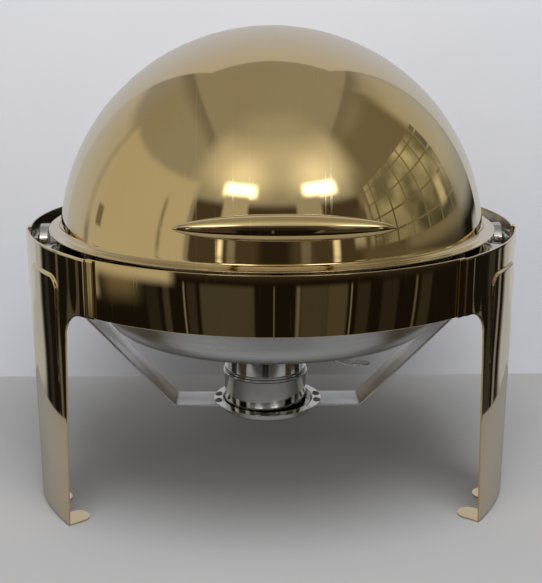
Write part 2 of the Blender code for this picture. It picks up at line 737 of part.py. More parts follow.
def fuel_cup():
    """Open cup that holds the fuel, with a beaded rim."""
    low = TRAY_RIM_Z - TRAY_DEPTH + GAP
    rim = CUP_RIM_Z
    inner = CUP_R - CUP_WALL
    bead = CUP_R + 1.2 * MM
    profile = [(0.0, low), (CUP_R - 2.0 * MM, low), (CUP_R, low + 2.0 * MM), (CUP_R, rim - 3.4 * MM),
               (bead, rim - 2.6 * MM), (bead, rim - 0.6 * MM), (CUP_R + 0.5 * MM, rim),
               (inner, rim), (inner, low + 2.4 * MM), (inner - 1.6 * MM, low + CUP_WALL),
               (0.0, low + CUP_WALL)]
    mesh = shift(turned(profile, 36, closed=False), CUP_X, BURNER_Y)
    return finish("fuel_cup", mesh, "steel", (CUP_X, BURNER_Y, low))


def fuel_collar():
    """Collar that drops into the cup's mouth and narrows it to the flame opening."""
    rim = CUP_RIM_Z + GAP
    top = COLLAR_TOP_Z
    sheet = CUP_WALL
    profile = [(COLLAR_R, rim - 8.0 * MM), (COLLAR_R, rim), (CUP_R + 0.4 * MM, rim),
               (CUP_R + 0.4 * MM, rim + 1.2 * MM), (COLLAR_R, rim + 1.6 * MM), (COLLAR_R, top - 2.0 * MM),
               (COLLAR_R - 2.0 * MM, top), (FLAME_R, top), (FLAME_R, top - sheet),
               (COLLAR_R - 2.4 * MM, top - sheet), (COLLAR_R - sheet, top - 2.4 * MM),
               (COLLAR_R - sheet, rim - 8.0 * MM)]
    mesh = shift(turned(profile, 36), CUP_X, BURNER_Y)
    collar = finish("fuel_collar", mesh, "steel", (CUP_X, BURNER_Y, top))
    place = damper_pivot()
    hole = round_cutter("collar_hole", place - Vector((0, 0, 4.0 * MM)), place + Vector((0, 0, 3.0 * MM)),
                        RIVET_R + GAP, 12)
    combine(collar, hole, "DIFFERENCE")
    return collar


def damper_pivot():
    """Centre of the damper's rivet, on top of the collar."""
    turn = radians(LEVER_ANGLE)
    return Vector((CUP_X + DAMPER_PIVOT_R * cos(turn), BURNER_Y + DAMPER_PIVOT_R * sin(turn), COLLAR_TOP_Z))


def damper_point(out, across, height):
    """A point by its distance along the lever from the rivet, across it, and above the plate."""
    turn = radians(LEVER_ANGLE)
    base = damper_pivot()
    x = base.x + out * cos(turn) - across * sin(turn)
    y = base.y + out * sin(turn) + across * cos(turn)
    return (x, y, base.z + GAP + height)


def damper_plate():
    """The swinging lid over the flame opening, with its lever in one piece."""
    half = 6.5 * MM
    centre = -DAMPER_PIVOT_R
    reach = 12.0 * MM
    meet = degrees(atan2(half + 1.0 * MM, sqrt(DAMPER_R ** 2 - (half + 1.0 * MM) ** 2)))
    outline = arc((centre, 0.0), DAMPER_R, meet, 360.0 - meet, 26)
    outline += [(0.0, -half - 1.0 * MM), (reach, -half), (reach, half), (0.0, half + 1.0 * MM)]
    mesh = prism(outline, damper_point, (0.0, DAMPER_SHEET))
    plate = finish("damper_plate", mesh, "steel", damper_pivot())
    middle = DAMPER_SHEET / 2.0
    strap = [(reach - 2.0 * MM, middle), (reach + 18.0 * MM, middle),
             (LEVER_LENGTH - 12.0 * MM, middle - LEVER_DROP), (LEVER_LENGTH, middle - LEVER_DROP)]
    lever_outline = strip_outline([Vector(point) for point in strap], DAMPER_SHEET)
    lever = prism(lever_outline, lambda out, height, across: damper_point(out, across, height),
                  (-half + 0.6 * MM, half - 0.6 * MM))
    combine(plate, finish("damper_lever_guide", lever, "steel"), "UNION")
    place = damper_pivot()
    hole = round_cutter("damper_hole", place - Vector((0, 0, 2.0 * MM)), place + Vector((0, 0, 5.0 * MM)),
                        RIVET_R + GAP, 12)
    combine(plate, hole, "DIFFERENCE")
    return plate


def damper_grip():
    """The rounded finger tab fixed on top of the lever's end."""
    start = LEVER_LENGTH - 7.0 * MM
    radius = 7.0 * MM
    low = DAMPER_SHEET + GAP - LEVER_DROP
    outline = [(start, -radius)] + arc((start + 9.0 * MM, 0.0), radius, -90.0, 90.0, 10) + [(start, radius)]
    mesh = prism(outline, damper_point, (low, low + 1.6 * MM))
    return finish("damper_grip", mesh, "steel", damper_point(start, 0.0, low))


def damper_rivet():
    """The rivet that the damper swings on."""
    under = CUP_WALL + GAP
    over = GAP + DAMPER_SHEET + GAP
    profile = [(0.0, over + 1.4 * MM), (2.4 * MM, over + 1.1 * MM), (3.8 * MM, over), (RIVET_R, over),
               (RIVET_R, -under), (3.4 * MM, -under), (3.0 * MM, -under - 1.0 * MM), (0.0, -under - 1.0 * MM)]
    place = damper_pivot()
    mesh = shift(turned(profile, 12, closed=False), place.x, place.y, place.z)
    return finish("damper_rivet", mesh, "steel", place)


# ----------------------------------------------------------------- assembly

def ride(name, place, pieces):
    """Parent the pieces of one moving body to an empty on its joint's axis."""
    pivot = bpy.data.objects.new(name, None)
    pivot.location = place
    bpy.context.collection.objects.link(pivot)
    bpy.context.view_layer.update()
    for piece in pieces:
        piece.parent = pivot
        piece.matrix_parent_inverse = pivot.matrix_world.inverted()


def stand():
    """The ring, its legs, the pan seat, the pivots' fixed half and the burner's carrier."""
    lap = LEG_WING - LAP
    left, right, rear = LEG_AZIMUTHS.values()
    for name, before, after in (("front_band", left, right), ("rear_band_right", right, rear),
                                ("rear_band_left", rear, left + 360.0)):
        band(name, before + lap, after - lap)
    for name, azimuth in LEG_AZIMUTHS.items():
        leg(name, azimuth)
    pan_shelf()
    for number, azimuth in enumerate(PAD_AZIMUTHS, 1):
        rest_pad("rest_pad_%d" % number, azimuth)
    number = 0
    for side, word in ((-1.0, "left"), (1.0, "right")):
        pivot_bracket("pivot_bracket_" + word, side)
        stop_pin("stop_pin_" + word, side)
        pivot_bolt("pivot_bolt_" + word, side)
        pivot_ring("pivot_spacer_" + word, side, (EAR_X[1] + GAP, BRACKET_X[0] - GAP), SPACER_R, "nylon")
        pivot_ring("pivot_washer_" + word, side, (WASHER_X, EAR_X[0] - GAP), WASHER_R, "steel")
        burner_arm("burner_arm_" + word, side)
        arm_bolt("arm_bolt_" + word, side)
        for place in rivet_places(side):
            number += 1
            tray_rivet("tray_rivet_%d" % number, place)
    burner_tray()
    water_flange_z = SHELF_TOP_Z + GAP + PAN_WALL
    food_flange_z = water_flange_z + GAP + PAN_WALL
    pan("water_pan", (WATER_FLANGE_R, water_flange_z, WATER_TOP_R, WATER_LOW_R, WATER_CORNER, WATER_BASE_Z),
        "brushed_steel")
    pan("food_pan", (FOOD_FLANGE_R, food_flange_z, FOOD_TOP_R, FOOD_LOW_R, FOOD_CORNER, FOOD_BASE_Z), "steel")


def cover():
    """Everything that rolls back with the cover."""
    pieces = [cover_shell(), cover_handle()]
    for side, word in ((-1.0, "left"), (1.0, "right")):
        pieces.append(handle_post("handle_post_" + word, side))
        pieces.append(handle_screw("handle_screw_" + word, side))
        pieces.append(pivot_ear("pivot_ear_" + word, side))
    ride("cover_axis", (0.0, 0.0, PIVOT_Z), pieces)


def fuel_holder():
    """The cup with its collar lifts out of the tray; the damper swings on the collar."""
    held = [fuel_cup(), fuel_collar(), damper_rivet()]
    swung = [damper_plate(), damper_grip()]
    ride("fuel_holder_seat", (CUP_X, BURNER_Y, TRAY_RIM_Z - TRAY_DEPTH), held)
    ride("damper_axis", damper_pivot(), swung)


def main():
    for old in list(bpy.data.objects):
        bpy.data.objects.remove(old)
    stand()
    cover()
    fuel_holder()
    bpy.context.view_layer.update()


main()
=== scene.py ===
"""Looks of the roll-top chafing dish food warmer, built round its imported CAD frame.

Every visible piece is a fine mesh that stands for one CAD node and rides on that node's body.
Heights and radii are read from the frame; azimuths are in degrees from the front (-Y), positive
towards +X. The sheet metal has rolled or broken edges, so that each edge catches the light.
"""

import json
from math import asin, atan2, cos, degrees, hypot, pi, radians, sin, sqrt

import bmesh
import bpy
from mathutils import Matrix, Vector


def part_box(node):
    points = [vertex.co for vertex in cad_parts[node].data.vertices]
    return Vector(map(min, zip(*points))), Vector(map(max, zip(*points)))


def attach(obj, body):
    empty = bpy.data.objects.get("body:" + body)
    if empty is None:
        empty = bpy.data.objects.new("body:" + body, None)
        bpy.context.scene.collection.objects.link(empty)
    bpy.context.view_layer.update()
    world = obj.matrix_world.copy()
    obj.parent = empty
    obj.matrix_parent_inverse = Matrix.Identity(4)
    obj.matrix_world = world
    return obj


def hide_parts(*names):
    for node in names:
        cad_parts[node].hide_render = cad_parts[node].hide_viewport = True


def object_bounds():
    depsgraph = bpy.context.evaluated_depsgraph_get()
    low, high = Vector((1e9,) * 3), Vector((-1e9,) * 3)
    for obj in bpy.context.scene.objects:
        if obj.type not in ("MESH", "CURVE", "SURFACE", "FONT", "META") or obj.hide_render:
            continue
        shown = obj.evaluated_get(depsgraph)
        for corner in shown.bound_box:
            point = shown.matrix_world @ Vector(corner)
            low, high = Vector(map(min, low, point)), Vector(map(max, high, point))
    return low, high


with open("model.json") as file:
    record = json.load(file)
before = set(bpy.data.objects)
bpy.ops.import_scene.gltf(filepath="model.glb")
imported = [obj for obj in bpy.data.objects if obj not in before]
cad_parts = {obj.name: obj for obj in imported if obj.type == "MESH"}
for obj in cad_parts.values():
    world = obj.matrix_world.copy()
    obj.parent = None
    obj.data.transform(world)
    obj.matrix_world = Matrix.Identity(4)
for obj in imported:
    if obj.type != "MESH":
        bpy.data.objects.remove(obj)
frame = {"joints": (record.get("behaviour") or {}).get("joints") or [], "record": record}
cad_low, cad_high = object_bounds()

MM = 0.001
FINE = 256                      # facets round the cover and the pans
MEDIUM = 128
SMALL = 64

BODIES = frame["record"]["behaviour"]["bodies"]
BODY_OF = {node: name for name, members in BODIES.items() for node in members}
JOINTS = {joint["name"]: joint for joint in frame["joints"]}
PIVOT = Vector(JOINTS["cover_roll"]["pos_m"])
DAMPER_PIVOT = Vector(JOINTS["damper_swing"]["pos_m"])


def centre(node):
    low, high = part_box(node)
    return (low + high) / 2.0


SEAT_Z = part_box("cover_shell")[0].z
FLANGE_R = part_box("cover_shell")[1].x
DOME_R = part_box("cover_shell")[1].z - PIVOT.z
DOME_WALL = 1.2 * MM
FLANGE_FILLET = 5.0 * MM

HANDLE_FULLNESS = 0.6           # lower is blunter at the ends

SHEET = 1.5 * MM
EMBOSS_RISE = 0.8 * MM
LEG_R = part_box("leg_rear")[1].y - EMBOSS_RISE
BAND_R = LEG_R - 3.0 * MM
BAND_LOW_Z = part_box("front_band")[0].z
BAND_TOP_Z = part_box("front_band")[1].z
LEG_AZIMUTHS = {"leg_front_left": -61.8, "leg_front_right": 61.8, "leg_rear": 180.0}
LEG_WING = 21.5
LEG_STEP = 19.1                 # where the panel starts to step in to the band
LEG_JOGGLE = 19.8
LEG_FLARE = 17.8
LEG_HALF_TOP = 12.0
LEG_HALF_FOOT = 9.0
FILLET_HEIGHT = 20.0 * MM
LAP = 2.0
EMBOSS_HALF = 8.5
EMBOSS_TOP_Z = SEAT_Z - 20.0 * MM
EMBOSS_CORNER = 11.0 * MM
EMBOSS_EDGE = 1.2 * MM          # half width of the pressed step
EMBOSS_SINK = 1.0 * MM          # the panel above the field lies this much further in
TAB_BEND = 2.5 * MM
TAB_LENGTH = 25.0 * MM
TAB_INNER = 3.2

SHELF_BORE_R = 177.0 * MM       # the pan seat's opening
SHELF_FRONT_R = 224.8 * MM
SHELF_BACK_R = 190.0 * MM       # narrower, clear of the opened cover
WATER_PAN_SHAPE = (172.0 * MM, 161.0 * MM, 18.0 * MM)   # wall radius at the top and base, corner
FOOD_PAN_SHAPE = (163.0 * MM, 153.0 * MM, 16.0 * MM)

ARM_SHEET = 2.0 * MM
ARM_FOOT = 44.5 * MM            # the strap's level length beside the tray
ARM_BEND_Z = SEAT_Z - 38.0 * MM
LEVER_LENGTH = 65.0 * MM
LEVER_DROP = 5.5 * MM           # the crank in the damper's lever
LEVER_HALF = 6.5 * MM
DAMPER_SHEET = 1.2 * MM
DAMPER_GAP = 0.3 * MM           # between the damper and the collar

# room reflections on the camera side: (azimuth, half width, tone) of strips below the table's edge,
# and (azimuth, half width, height, half height, tone) of streaks above it, all in degrees
STRIPS = ((-56.0, 3.0, 0.020), (-49.0, 1.5, 0.045), (-40.5, 0.35, 0.20), (-37.0, 2.0, 0.030),
          (-21.0, 12.0, 0.056), (-0.3, 0.2, 0.16), (10.3, 0.8, 0.14), (17.5, 6.0, 0.055), (28.0, 4.5, 0.070),
          (34.3, 0.3, 0.20), (40.0, 3.0, 0.028), (53.0, 4.0, 0.024), (66.5, 0.5, 0.12), (72.0, 3.0, 0.030),
          (109.0, 0.8, 0.18), (119.0, 3.0, 0.035), (127.0, 1.2, 0.20), (-105.0, 3.0, 0.07),
          (-116.0, 1.0, 0.12), (-126.0, 2.0, 0.025))
STREAKS = ((-21.5, 7.0, 25.0, 7.5, 0.42), (19.5, 7.0, 25.0, 7.0, 0.34), (-27.8, 1.2, 6.0, 5.0, 1.2),
           (32.0, 1.6, 6.0, 6.0, 0.90), (-22.0, 2.0, 6.0, 6.0, 0.22), (16.0, 2.5, 6.0, 6.0, 0.16),
           (45.0, 3.0, 10.0, 5.0, 0.36), (52.0, 1.0, 14.0, 10.0, 0.26), (-45.8, 0.8, 10.0, 16.0, 0.24),
           (-62.0, 0.9, 12.0, 12.0, 0.24))

GOLD_BASE = (0.86, 0.665, 0.345)
GOLD_DEEP = (0.80, 0.585, 0.27)
GOLD_EDGE = (0.95, 0.84, 0.60)
GOLD_SLANT = (0.86, 0.80, 0.70)


# ---------------------------------------------------------------- node helpers

def add(tree, kind, inputs=None, **settings):
    """A shader node with its inputs and settings."""
    made = tree.nodes.new("ShaderNode" + kind)
    for key, value in settings.items():
        setattr(made, key, value)
    for key, value in (inputs or {}).items():
        feed(tree, made.inputs[key], value)
    return made


def feed(tree, socket, value):
    """Set a socket to a value, or link it to another node's output."""
    if isinstance(value, bpy.types.NodeSocket):
        tree.links.new(value, socket)
    elif isinstance(value, tuple) and socket.type == "RGBA":
        socket.default_value = value + (1.0,) * (4 - len(value))
    else:
        socket.default_value = value


def calc(tree, operation, *values):
    made = add(tree, "Math", operation=operation)
    for socket, value in zip(made.inputs, values):
        feed(tree, socket, value)
    return made.outputs[0]


def times(tree, first, second):
    return calc(tree, "MULTIPLY", first, second)


def plus(tree, first, second):
    return calc(tree, "ADD", first, second)


def ramp(tree, value, low, high, to_low=0.0, to_high=1.0):
    """Smooth rise of a value from to_low at low to to_high at high."""
    made = add(tree, "MapRange", {"Value": value, "From Min": low, "From Max": high,
                                  "To Min": to_low, "To Max": to_high}, interpolation_type="SMOOTHSTEP")
    return made.outputs["Result"]


def blend(tree, share, first, second):
    """A colour between two colours."""
    made = add(tree, "Mix", data_type="RGBA")
    feed(tree, made.inputs[0], share)
    feed(tree, made.inputs[6], first)
    feed(tree, made.inputs[7], second)
    return made.outputs[2]


def noise(tree, place, scale, detail=3.0, stretch=None, rough=0.5, turn=(0.0, 0.0, 0.0)):
    """Noise at a place; stretch scales its three axes and turn rotates them."""
    if stretch:
        place = add(tree, "Mapping", {"Vector": place, "Scale": stretch, "Rotation": turn}).outputs[0]
    made = add(tree, "TexNoise", {"Vector": place, "Scale": scale, "Detail": detail, "Roughness": rough})
    return made.outputs["Fac"]


def vector(tree, x=0.0, y=0.0, z=0.0):
    return add(tree, "CombineXYZ", {0: x, 1: y, 2: z}).outputs[0]


def metal(name):
    """An empty metal material with its tree, shader and object coordinates."""
    made = bpy.data.materials.new(name)
    made.use_nodes = True
    tree = made.node_tree
    shader = tree.nodes["Principled BSDF"]
    shader.inputs["Metallic"].default_value = 1.0
    place = add(tree, "TexCoord").outputs["Object"]
    return made, tree, shader, place


def finish(tree, shader, colour, rough, relief, strength, depth):
    """Set a shader's colour and roughness, and a bump from a relief."""
    feed(tree, shader.inputs["Base Color"], colour)
    feed(tree, shader.inputs["Roughness"], rough)
    bump = add(tree, "Bump", {"Height": relief, "Strength": strength, "Distance": depth})
    feed(tree, shader.inputs["Normal"], bump.outputs[0])


def lathe_place(tree, place, axis):
    """Coordinates round a piece: the turn about its axis, the distance from it, and along it."""
    shifted = add(tree, "VectorMath", {0: place, 1: tuple(axis)}, operation="SUBTRACT").outputs[0]
    part = add(tree, "SeparateXYZ", {0: shifted})
    x, y, z = part.outputs
    squares = plus(tree, times(tree, x, x), times(tree, y, y))
    return calc(tree, "ARCTAN2", y, x), calc(tree, "SQRT", squares), z


def scratches(tree, place):
    """Sparse hairline scratches in three directions, 0 or nearly 1."""
    total = 0.0
    for angle, seed in ((0.4, 3.0), (1.5, 11.0), (2.5, 23.0)):
        lines = noise(tree, place, 1.0, 1.0, (520.0 + seed, 9.0, 9.0), 0.4, (angle, 0.6 * angle, angle))
        total = plus(tree, total, ramp(tree, lines, 0.735, 0.76))
    return calc(tree, "MINIMUM", total, 1.0)


def edge_wear(tree):
    """Where an outer edge is rubbed bright."""
    return ramp(tree, add(tree, "NewGeometry").outputs["Pointiness"], 0.53, 0.60)


# ------------------------------------------------------------------- materials

def gold_mirror(name, spun):
    """Champagne gold coating on mirror-polished sheet, with wipe marks and hairline scratches.

    A spun piece also has faint turning lines; a flat one has faint lines from rolling.
    """
    made, tree, shader, place = metal(name)
    cloud = noise(tree, place, 5.0, 2.0)
    colour = blend(tree, ramp(tree, cloud, 0.35, 0.7), GOLD_BASE, GOLD_DEEP)
    colour = blend(tree, times(tree, edge_wear(tree), 0.35), colour, GOLD_EDGE)
    marks = scratches(tree, place)
    colour = blend(tree, times(tree, marks, 0.25), colour, GOLD_EDGE)
    # the coating pales where it is seen at a slant
    slant = add(tree, "LayerWeight", {"Blend": 0.5}).outputs["Facing"]
    colour = blend(tree, ramp(tree, slant, 0.35, 0.85), colour, GOLD_SLANT)
    feed(tree, shader.inputs["Specular Tint"], (1.0, 0.97, 0.90))
    wipe = ramp(tree, noise(tree, place, 11.0, 6.0, (1.0, 2.5, 1.0), 0.62), 0.46, 0.78)
    rough = plus(tree, plus(tree, times(tree, wipe, 0.05), 0.022), times(tree, marks, 0.10))
    if spun:
        _, radius, height = lathe_place(tree, place, PIVOT)
        climb = calc(tree, "ARCTAN2", height, radius)
        lines = noise(tree, vector(tree, times(tree, climb, 420.0)), 1.0, 3.0)
    else:
        lines = noise(tree, place, 1.0, 2.0, (30.0, 30.0, 900.0))
    swell = noise(tree, place, 9.0, 1.0)
    relief = plus(tree, times(tree, lines, 0.02), times(tree, swell, 1.6))
    relief = calc(tree, "SUBTRACT", relief, times(tree, marks, 0.02))
    finish(tree, shader, colour, rough, relief, 0.35, 0.25 * MM)
    return made


def polished_steel(name, axis):
    """Polished stainless steel with fine turning lines about an axis and dull water spots."""
    made, tree, shader, place = metal(name)
    _, radius, height = lathe_place(tree, place, axis)
    lines = noise(tree, vector(tree, times(tree, radius, 2600.0), times(tree, height, 2600.0)), 1.0, 3.0)
    marks = scratches(tree, place)
    spots = ramp(tree, noise(tree, place, 60.0, 3.0), 0.60, 0.72)
    cloud = ramp(tree, noise(tree, place, 24.0, 4.0), 0.35, 0.75)
    tone = blend(tree, cloud, (0.70, 0.70, 0.69), (0.60, 0.59, 0.57))
    tone = blend(tree, times(tree, edge_wear(tree), 0.6), tone, (0.88, 0.88, 0.87))
    rough = plus(tree, times(tree, lines, 0.09), 0.05)
    rough = plus(tree, rough, times(tree, spots, 0.09))
    rough = plus(tree, rough, times(tree, marks, 0.08))
    finish(tree, shader, tone, rough, calc(tree, "SUBTRACT", lines, marks), 0.12, 0.05 * MM)
    return made


def brushed_steel(name, axis=None):
    """Satin steel, brushed round an axis or, with none, along X."""
    made, tree, shader, place = metal(name)
    if axis is None:
        grain_place = place
        stretch = (10.0, 1700.0, 240.0)
    else:
        turn, radius, height = lathe_place(tree, place, axis)
        grain_place = vector(tree, turn, radius, height)
        stretch = (1.6, 2600.0, 2600.0)
    grain = noise(tree, grain_place, 1.0, 4.0, stretch, 0.65)
    coarse = noise(tree, grain_place, 1.0, 2.0, tuple(0.22 * value for value in stretch))
    stain = noise(tree, place, 16.0, 5.0)
    marks = scratches(tree, place)
    tone = blend(tree, ramp(tree, grain, 0.3, 0.7), (0.56, 0.56, 0.555), (0.70, 0.70, 0.70))
    tone = blend(tree, times(tree, ramp(tree, stain, 0.5, 0.8), 0.35), tone, (0.46, 0.44, 0.41))
    tone = blend(tree, times(tree, edge_wear(tree), 0.5), tone, (0.86, 0.86, 0.85))
    rough = plus(tree, 0.20, times(tree, coarse, 0.16))
    rough = plus(tree, rough, times(tree, stain, 0.08))
    shader.inputs["Anisotropic"].default_value = 0.55
    relief = calc(tree, "SUBTRACT", plus(tree, grain, times(tree, coarse, 0.3)), marks)
    finish(tree, shader, tone, rough, relief, 0.12, 0.03 * MM)
    return made


def rubber():
    """Matt black rubber with a fine moulded grain and dust on it."""
    made, tree, shader, place = metal("rubber_pad")
    shader.inputs["Metallic"].default_value = 0.0
    dust = ramp(tree, noise(tree, place, 180.0, 5.0), 0.5, 0.8)
    tone = blend(tree, dust, (0.018, 0.018, 0.019), (0.075, 0.072, 0.068))
    rough = ramp(tree, dust, 0.0, 1.0, 0.55, 0.85)
    finish(tree, shader, tone, rough, noise(tree, place, 2600.0, 2.0), 0.4, 0.1 * MM)
    return made


def nylon():
    """Natural nylon, slightly see-through, with flow marks."""
    made, tree, shader, place = metal("nylon_natural")
    shader.inputs["Metallic"].default_value = 0.0
    flow = noise(tree, place, 120.0, 4.0, (1.0, 1.0, 6.0))
    tone = blend(tree, flow, (0.80, 0.79, 0.73), (0.70, 0.68, 0.60))
    rough = ramp(tree, flow, 0.3, 0.7, 0.38, 0.55)
    shader.inputs["Subsurface Weight"].default_value = 0.15
    shader.inputs["Subsurface Radius"].default_value = (0.002, 0.002, 0.0015)
    finish(tree, shader, tone, rough, flow, 0.2, 0.1 * MM)
    return made


# ---------------------------------------------------------------- mesh helpers

def polar(radius, azimuth, z):
    """A point at an azimuth in degrees from the front."""
    return (radius * sin(radians(azimuth)), -radius * cos(radians(azimuth)), z)


def arc(middle, radius, start, end, steps):
    """Points on an arc, with angles in degrees, both ends included."""
    turns = [radians(start + (end - start) * step / steps) for step in range(steps + 1)]
    return [(middle[0] + radius * cos(a), middle[1] + radius * sin(a)) for a in turns]


def soften(corners, closed=True, steps=4):
    """Round the corners of an outline. A corner is (a, b) or (a, b, radius)."""
    path = []
    count = len(corners)
    for step, corner in enumerate(corners):
        here = Vector(corner[:2])
        radius = corner[2] if len(corner) > 2 else 0.0
        at_end = not closed and step in (0, count - 1)
        if radius <= 0.0 or at_end:
            path.append(tuple(here))
            continue
        back = Vector(corners[step - 1][:2]) - here
        ahead = Vector(corners[(step + 1) % count][:2]) - here
        half = back.angle(ahead) / 2.0
        wanted = radius / max(sin(half) / max(cos(half), 1e-6), 1e-6)
        setback = min(wanted, 0.49 * back.length, 0.49 * ahead.length)
        start = here + back.normalized() * setback
        end = here + ahead.normalized() * setback
        for part in range(steps + 1):
            share = part / steps
            path.append(tuple(start * (1 - share) ** 2 + here * 2 * share * (1 - share) + end * share ** 2))
    return path


def turned(profile, steps, closed=True):
    """A bmesh of a profile of (radius, height) turned about +Z; an open one ends on the axis."""
    mesh = bmesh.new()
    rings = []
    for radius, height in profile:
        if radius < 1e-7:
            rings.append([mesh.verts.new((0.0, 0.0, height))])
            continue
        turns = [2.0 * pi * step / steps for step in range(steps)]
        rings.append([mesh.verts.new((radius * cos(a), radius * sin(a), height)) for a in turns])
    pairs = list(zip(rings, rings[1:]))
    if closed:
        pairs.append((rings[-1], rings[0]))
    for low, high in pairs:
        for step in range(steps):
            after = (step + 1) % steps
            if len(low) == 1 and len(high) == 1:
                continue
            if len(low) == 1:
                mesh.faces.new((low[0], high[step], high[after]))
            elif len(high) == 1:
                mesh.faces.new((low[step], low[after], high[0]))
            else:
                mesh.faces.new((low[step], low[after], high[after], high[step]))
    return mesh


def swept(section_at, azimuths, closed=False):
    """A bmesh swept round the stand. section_at(azimuth) gives (radius, height) points."""
    mesh = bmesh.new()
    rows = [[mesh.verts.new(polar(r, azimuth, z)) for r, z in section_at(azimuth)] for azimuth in azimuths]
    pairs = list(zip(rows, rows[1:]))
    if closed:
        pairs.append((rows[-1], rows[0]))
    for here, there in pairs:
        count = len(here)
        for step in range(count):
            after = (step + 1) % count
            mesh.faces.new((here[step], here[after], there[after], there[step]))
    if not closed:
        mesh.faces.new(rows[0])
        mesh.faces.new(list(reversed(rows[-1])))
    return mesh


def prism(outline, to_point, depths):
    """A bmesh of an outline of 2D points between two depths; to_point(a, b, depth) places a point."""
    mesh = bmesh.new()
    near, far = [[mesh.verts.new(to_point(a, b, depth)) for a, b in outline] for depth in depths]
    mesh.faces.new(near)
    mesh.faces.new(list(reversed(far)))
    count = len(outline)
    for step in range(count):
        after = (step + 1) % count
        mesh.faces.new((near[after], near[step], far[step], far[after]))
    return mesh


def move(mesh, place, direction=(0.0, 0.0, 1.0)):
    """Turn a bmesh's +Z to a direction and carry its origin to a place."""
    turn = Vector((0.0, 0.0, 1.0)).rotation_difference(Vector(direction)).to_matrix().to_4x4()
    bmesh.ops.transform(mesh, matrix=Matrix.Translation(Vector(place)) @ turn, verts=mesh.verts)
    return mesh


def new_object(name, mesh, look, sharp=38.0):
    """A bmesh in world coordinates as a shaded object."""
    bmesh.ops.recalc_face_normals(mesh, faces=mesh.faces)
    data = bpy.data.meshes.new(name)
    mesh.to_mesh(data)
    mesh.free()
    data.shade_smooth()
    data.set_sharp_from_angle(angle=radians(sharp))
    if look:
        data.materials.append(look)
    made = bpy.data.objects.new(name, data)
    bpy.context.scene.collection.objects.link(made)
    return made


def bevel(piece, width, segments=3, angle=45.0):
    """Break a piece's sharp edges."""
    change = piece.modifiers.new("edges", "BEVEL")
    change.width = width
    change.segments = segments
    change.limit_method = "ANGLE"
    change.angle_limit = radians(angle)
    change.harden_normals = False
    return piece


def combine(piece, tool, operation):
    """Join a tool's shape to a piece or take it away; the next cut() keeps the result."""
    change = piece.modifiers.new(operation.lower(), "BOOLEAN")
    change.operation = operation
    change.object = tool
    change.solver = "EXACT"


def cut(piece, tools):
    """Cut holes with tool objects, and keep the result as the piece's own mesh."""
    for tool in tools:
        combine(piece, tool, "DIFFERENCE")
    bpy.context.view_layer.update()
    shape = piece.evaluated_get(bpy.context.evaluated_depsgraph_get())
    data = bpy.data.meshes.new_from_object(shape)
    piece.modifiers.clear()
    piece.data = data
    for tool in tools:
        bpy.data.objects.remove(tool)
    return piece


def drill(place, direction, radius, length, steps=32):
    """A round cutter centred on a place."""
    half = length / 2.0
    mesh = turned([(0.0, -half), (radius, -half), (radius, half), (0.0, half)], steps, closed=False)
    return new_object("drill", move(mesh, place, direction), None)


def settle(piece, node):
    """Let a finished piece stand for its CAD node."""
    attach(piece, BODY_OF[node])
    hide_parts(node)
    return piece


def line_with(piece, look, axis_point=None):
    """Give the faces that look towards the middle another finish: only the outside is coated."""
    data = piece.data
    data.materials.append(look)
    for face in data.polygons:
        away = face.center - (axis_point or Vector((0.0, 0.0, face.center.z)))
        if away.normalized().dot(face.normal) < -0.3:
            face.material_index = 1
    return piece


def stand_for(node, mesh, look, sharp=38.0):
    """A bmesh as the visible piece of a CAD node."""
    return settle(new_object(node + "_skin", mesh, look, sharp), node)


def lathe(node, profile, steps, look, closed=False):
    """A piece turned about the upright axis of its node; heights start at the node's underside."""
    place = centre(node)
    place.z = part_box(node)[0].z
    return stand_for(node, move(turned(profile, steps, closed), place), look)


def along_x(node, profile, side, look, steps=48, closed=False):
    """A turned piece along X on one side; its profile starts at the inner end."""
    low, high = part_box(node)
    place = centre(node)
    place.x = low.x if side > 0 else high.x
    return stand_for(node, move(turned(profile, steps, closed), place, (side, 0.0, 0.0)), look)


# ----------------------------------------------------------------------- cover

def cover_profile():
    """Section of the dome with its rolled flange, from the top, out, and back inside."""
    rise = SEAT_Z + DOME_WALL + FLANGE_FILLET - PIVOT.z
    fillet_r = sqrt((DOME_R + FLANGE_FILLET) ** 2 - rise ** 2)
    meet = degrees(atan2(rise, fillet_r))
    outer = arc((0.0, PIVOT.z), DOME_R, 90.0, meet, 96)
    outer += arc((fillet_r, PIVOT.z + rise), FLANGE_FILLET, 180.0 + meet, 270.0, 12)[1:]
    half = DOME_WALL / 2.0
    rim = arc((FLANGE_R - half, SEAT_Z + half), half, 90.0, -90.0, 8)
    inner_r = DOME_R - DOME_WALL
    mouth = degrees(atan2(SEAT_Z + 1.0 * MM - PIVOT.z, inner_r))
    inner = [(inner_r + 1.4 * MM, SEAT_Z), (inner_r + 0.4 * MM, SEAT_Z + 0.3 * MM)]
    inner += arc((0.0, PIVOT.z), inner_r, mouth, 90.0, 72)
    profile = outer + rim + inner
    profile[0] = (0.0, profile[0][1])
    profile[-1] = (0.0, profile[-1][1])
    return profile


def cover_shell(look, lining):
    shell = stand_for("cover_shell", turned(cover_profile(), FINE, closed=False), look)
    return line_with(shell, lining, PIVOT)


def handle_axis():
    """Unit vector from the pivot axis to the handle, and the handle's distance."""
    run = centre("cover_handle") - PIVOT
    run.x = 0.0
    return run.normalized(), run.length


def handle_radius(x):
    """Half thickness of the spindle-shaped handle at a distance from its middle."""
    low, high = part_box("cover_handle")
    half = (high.x - low.x) / 2.0
    return (high.z - low.z) / 2.0 * max(0.0, 1.0 - (x / half) ** 2) ** HANDLE_FULLNESS


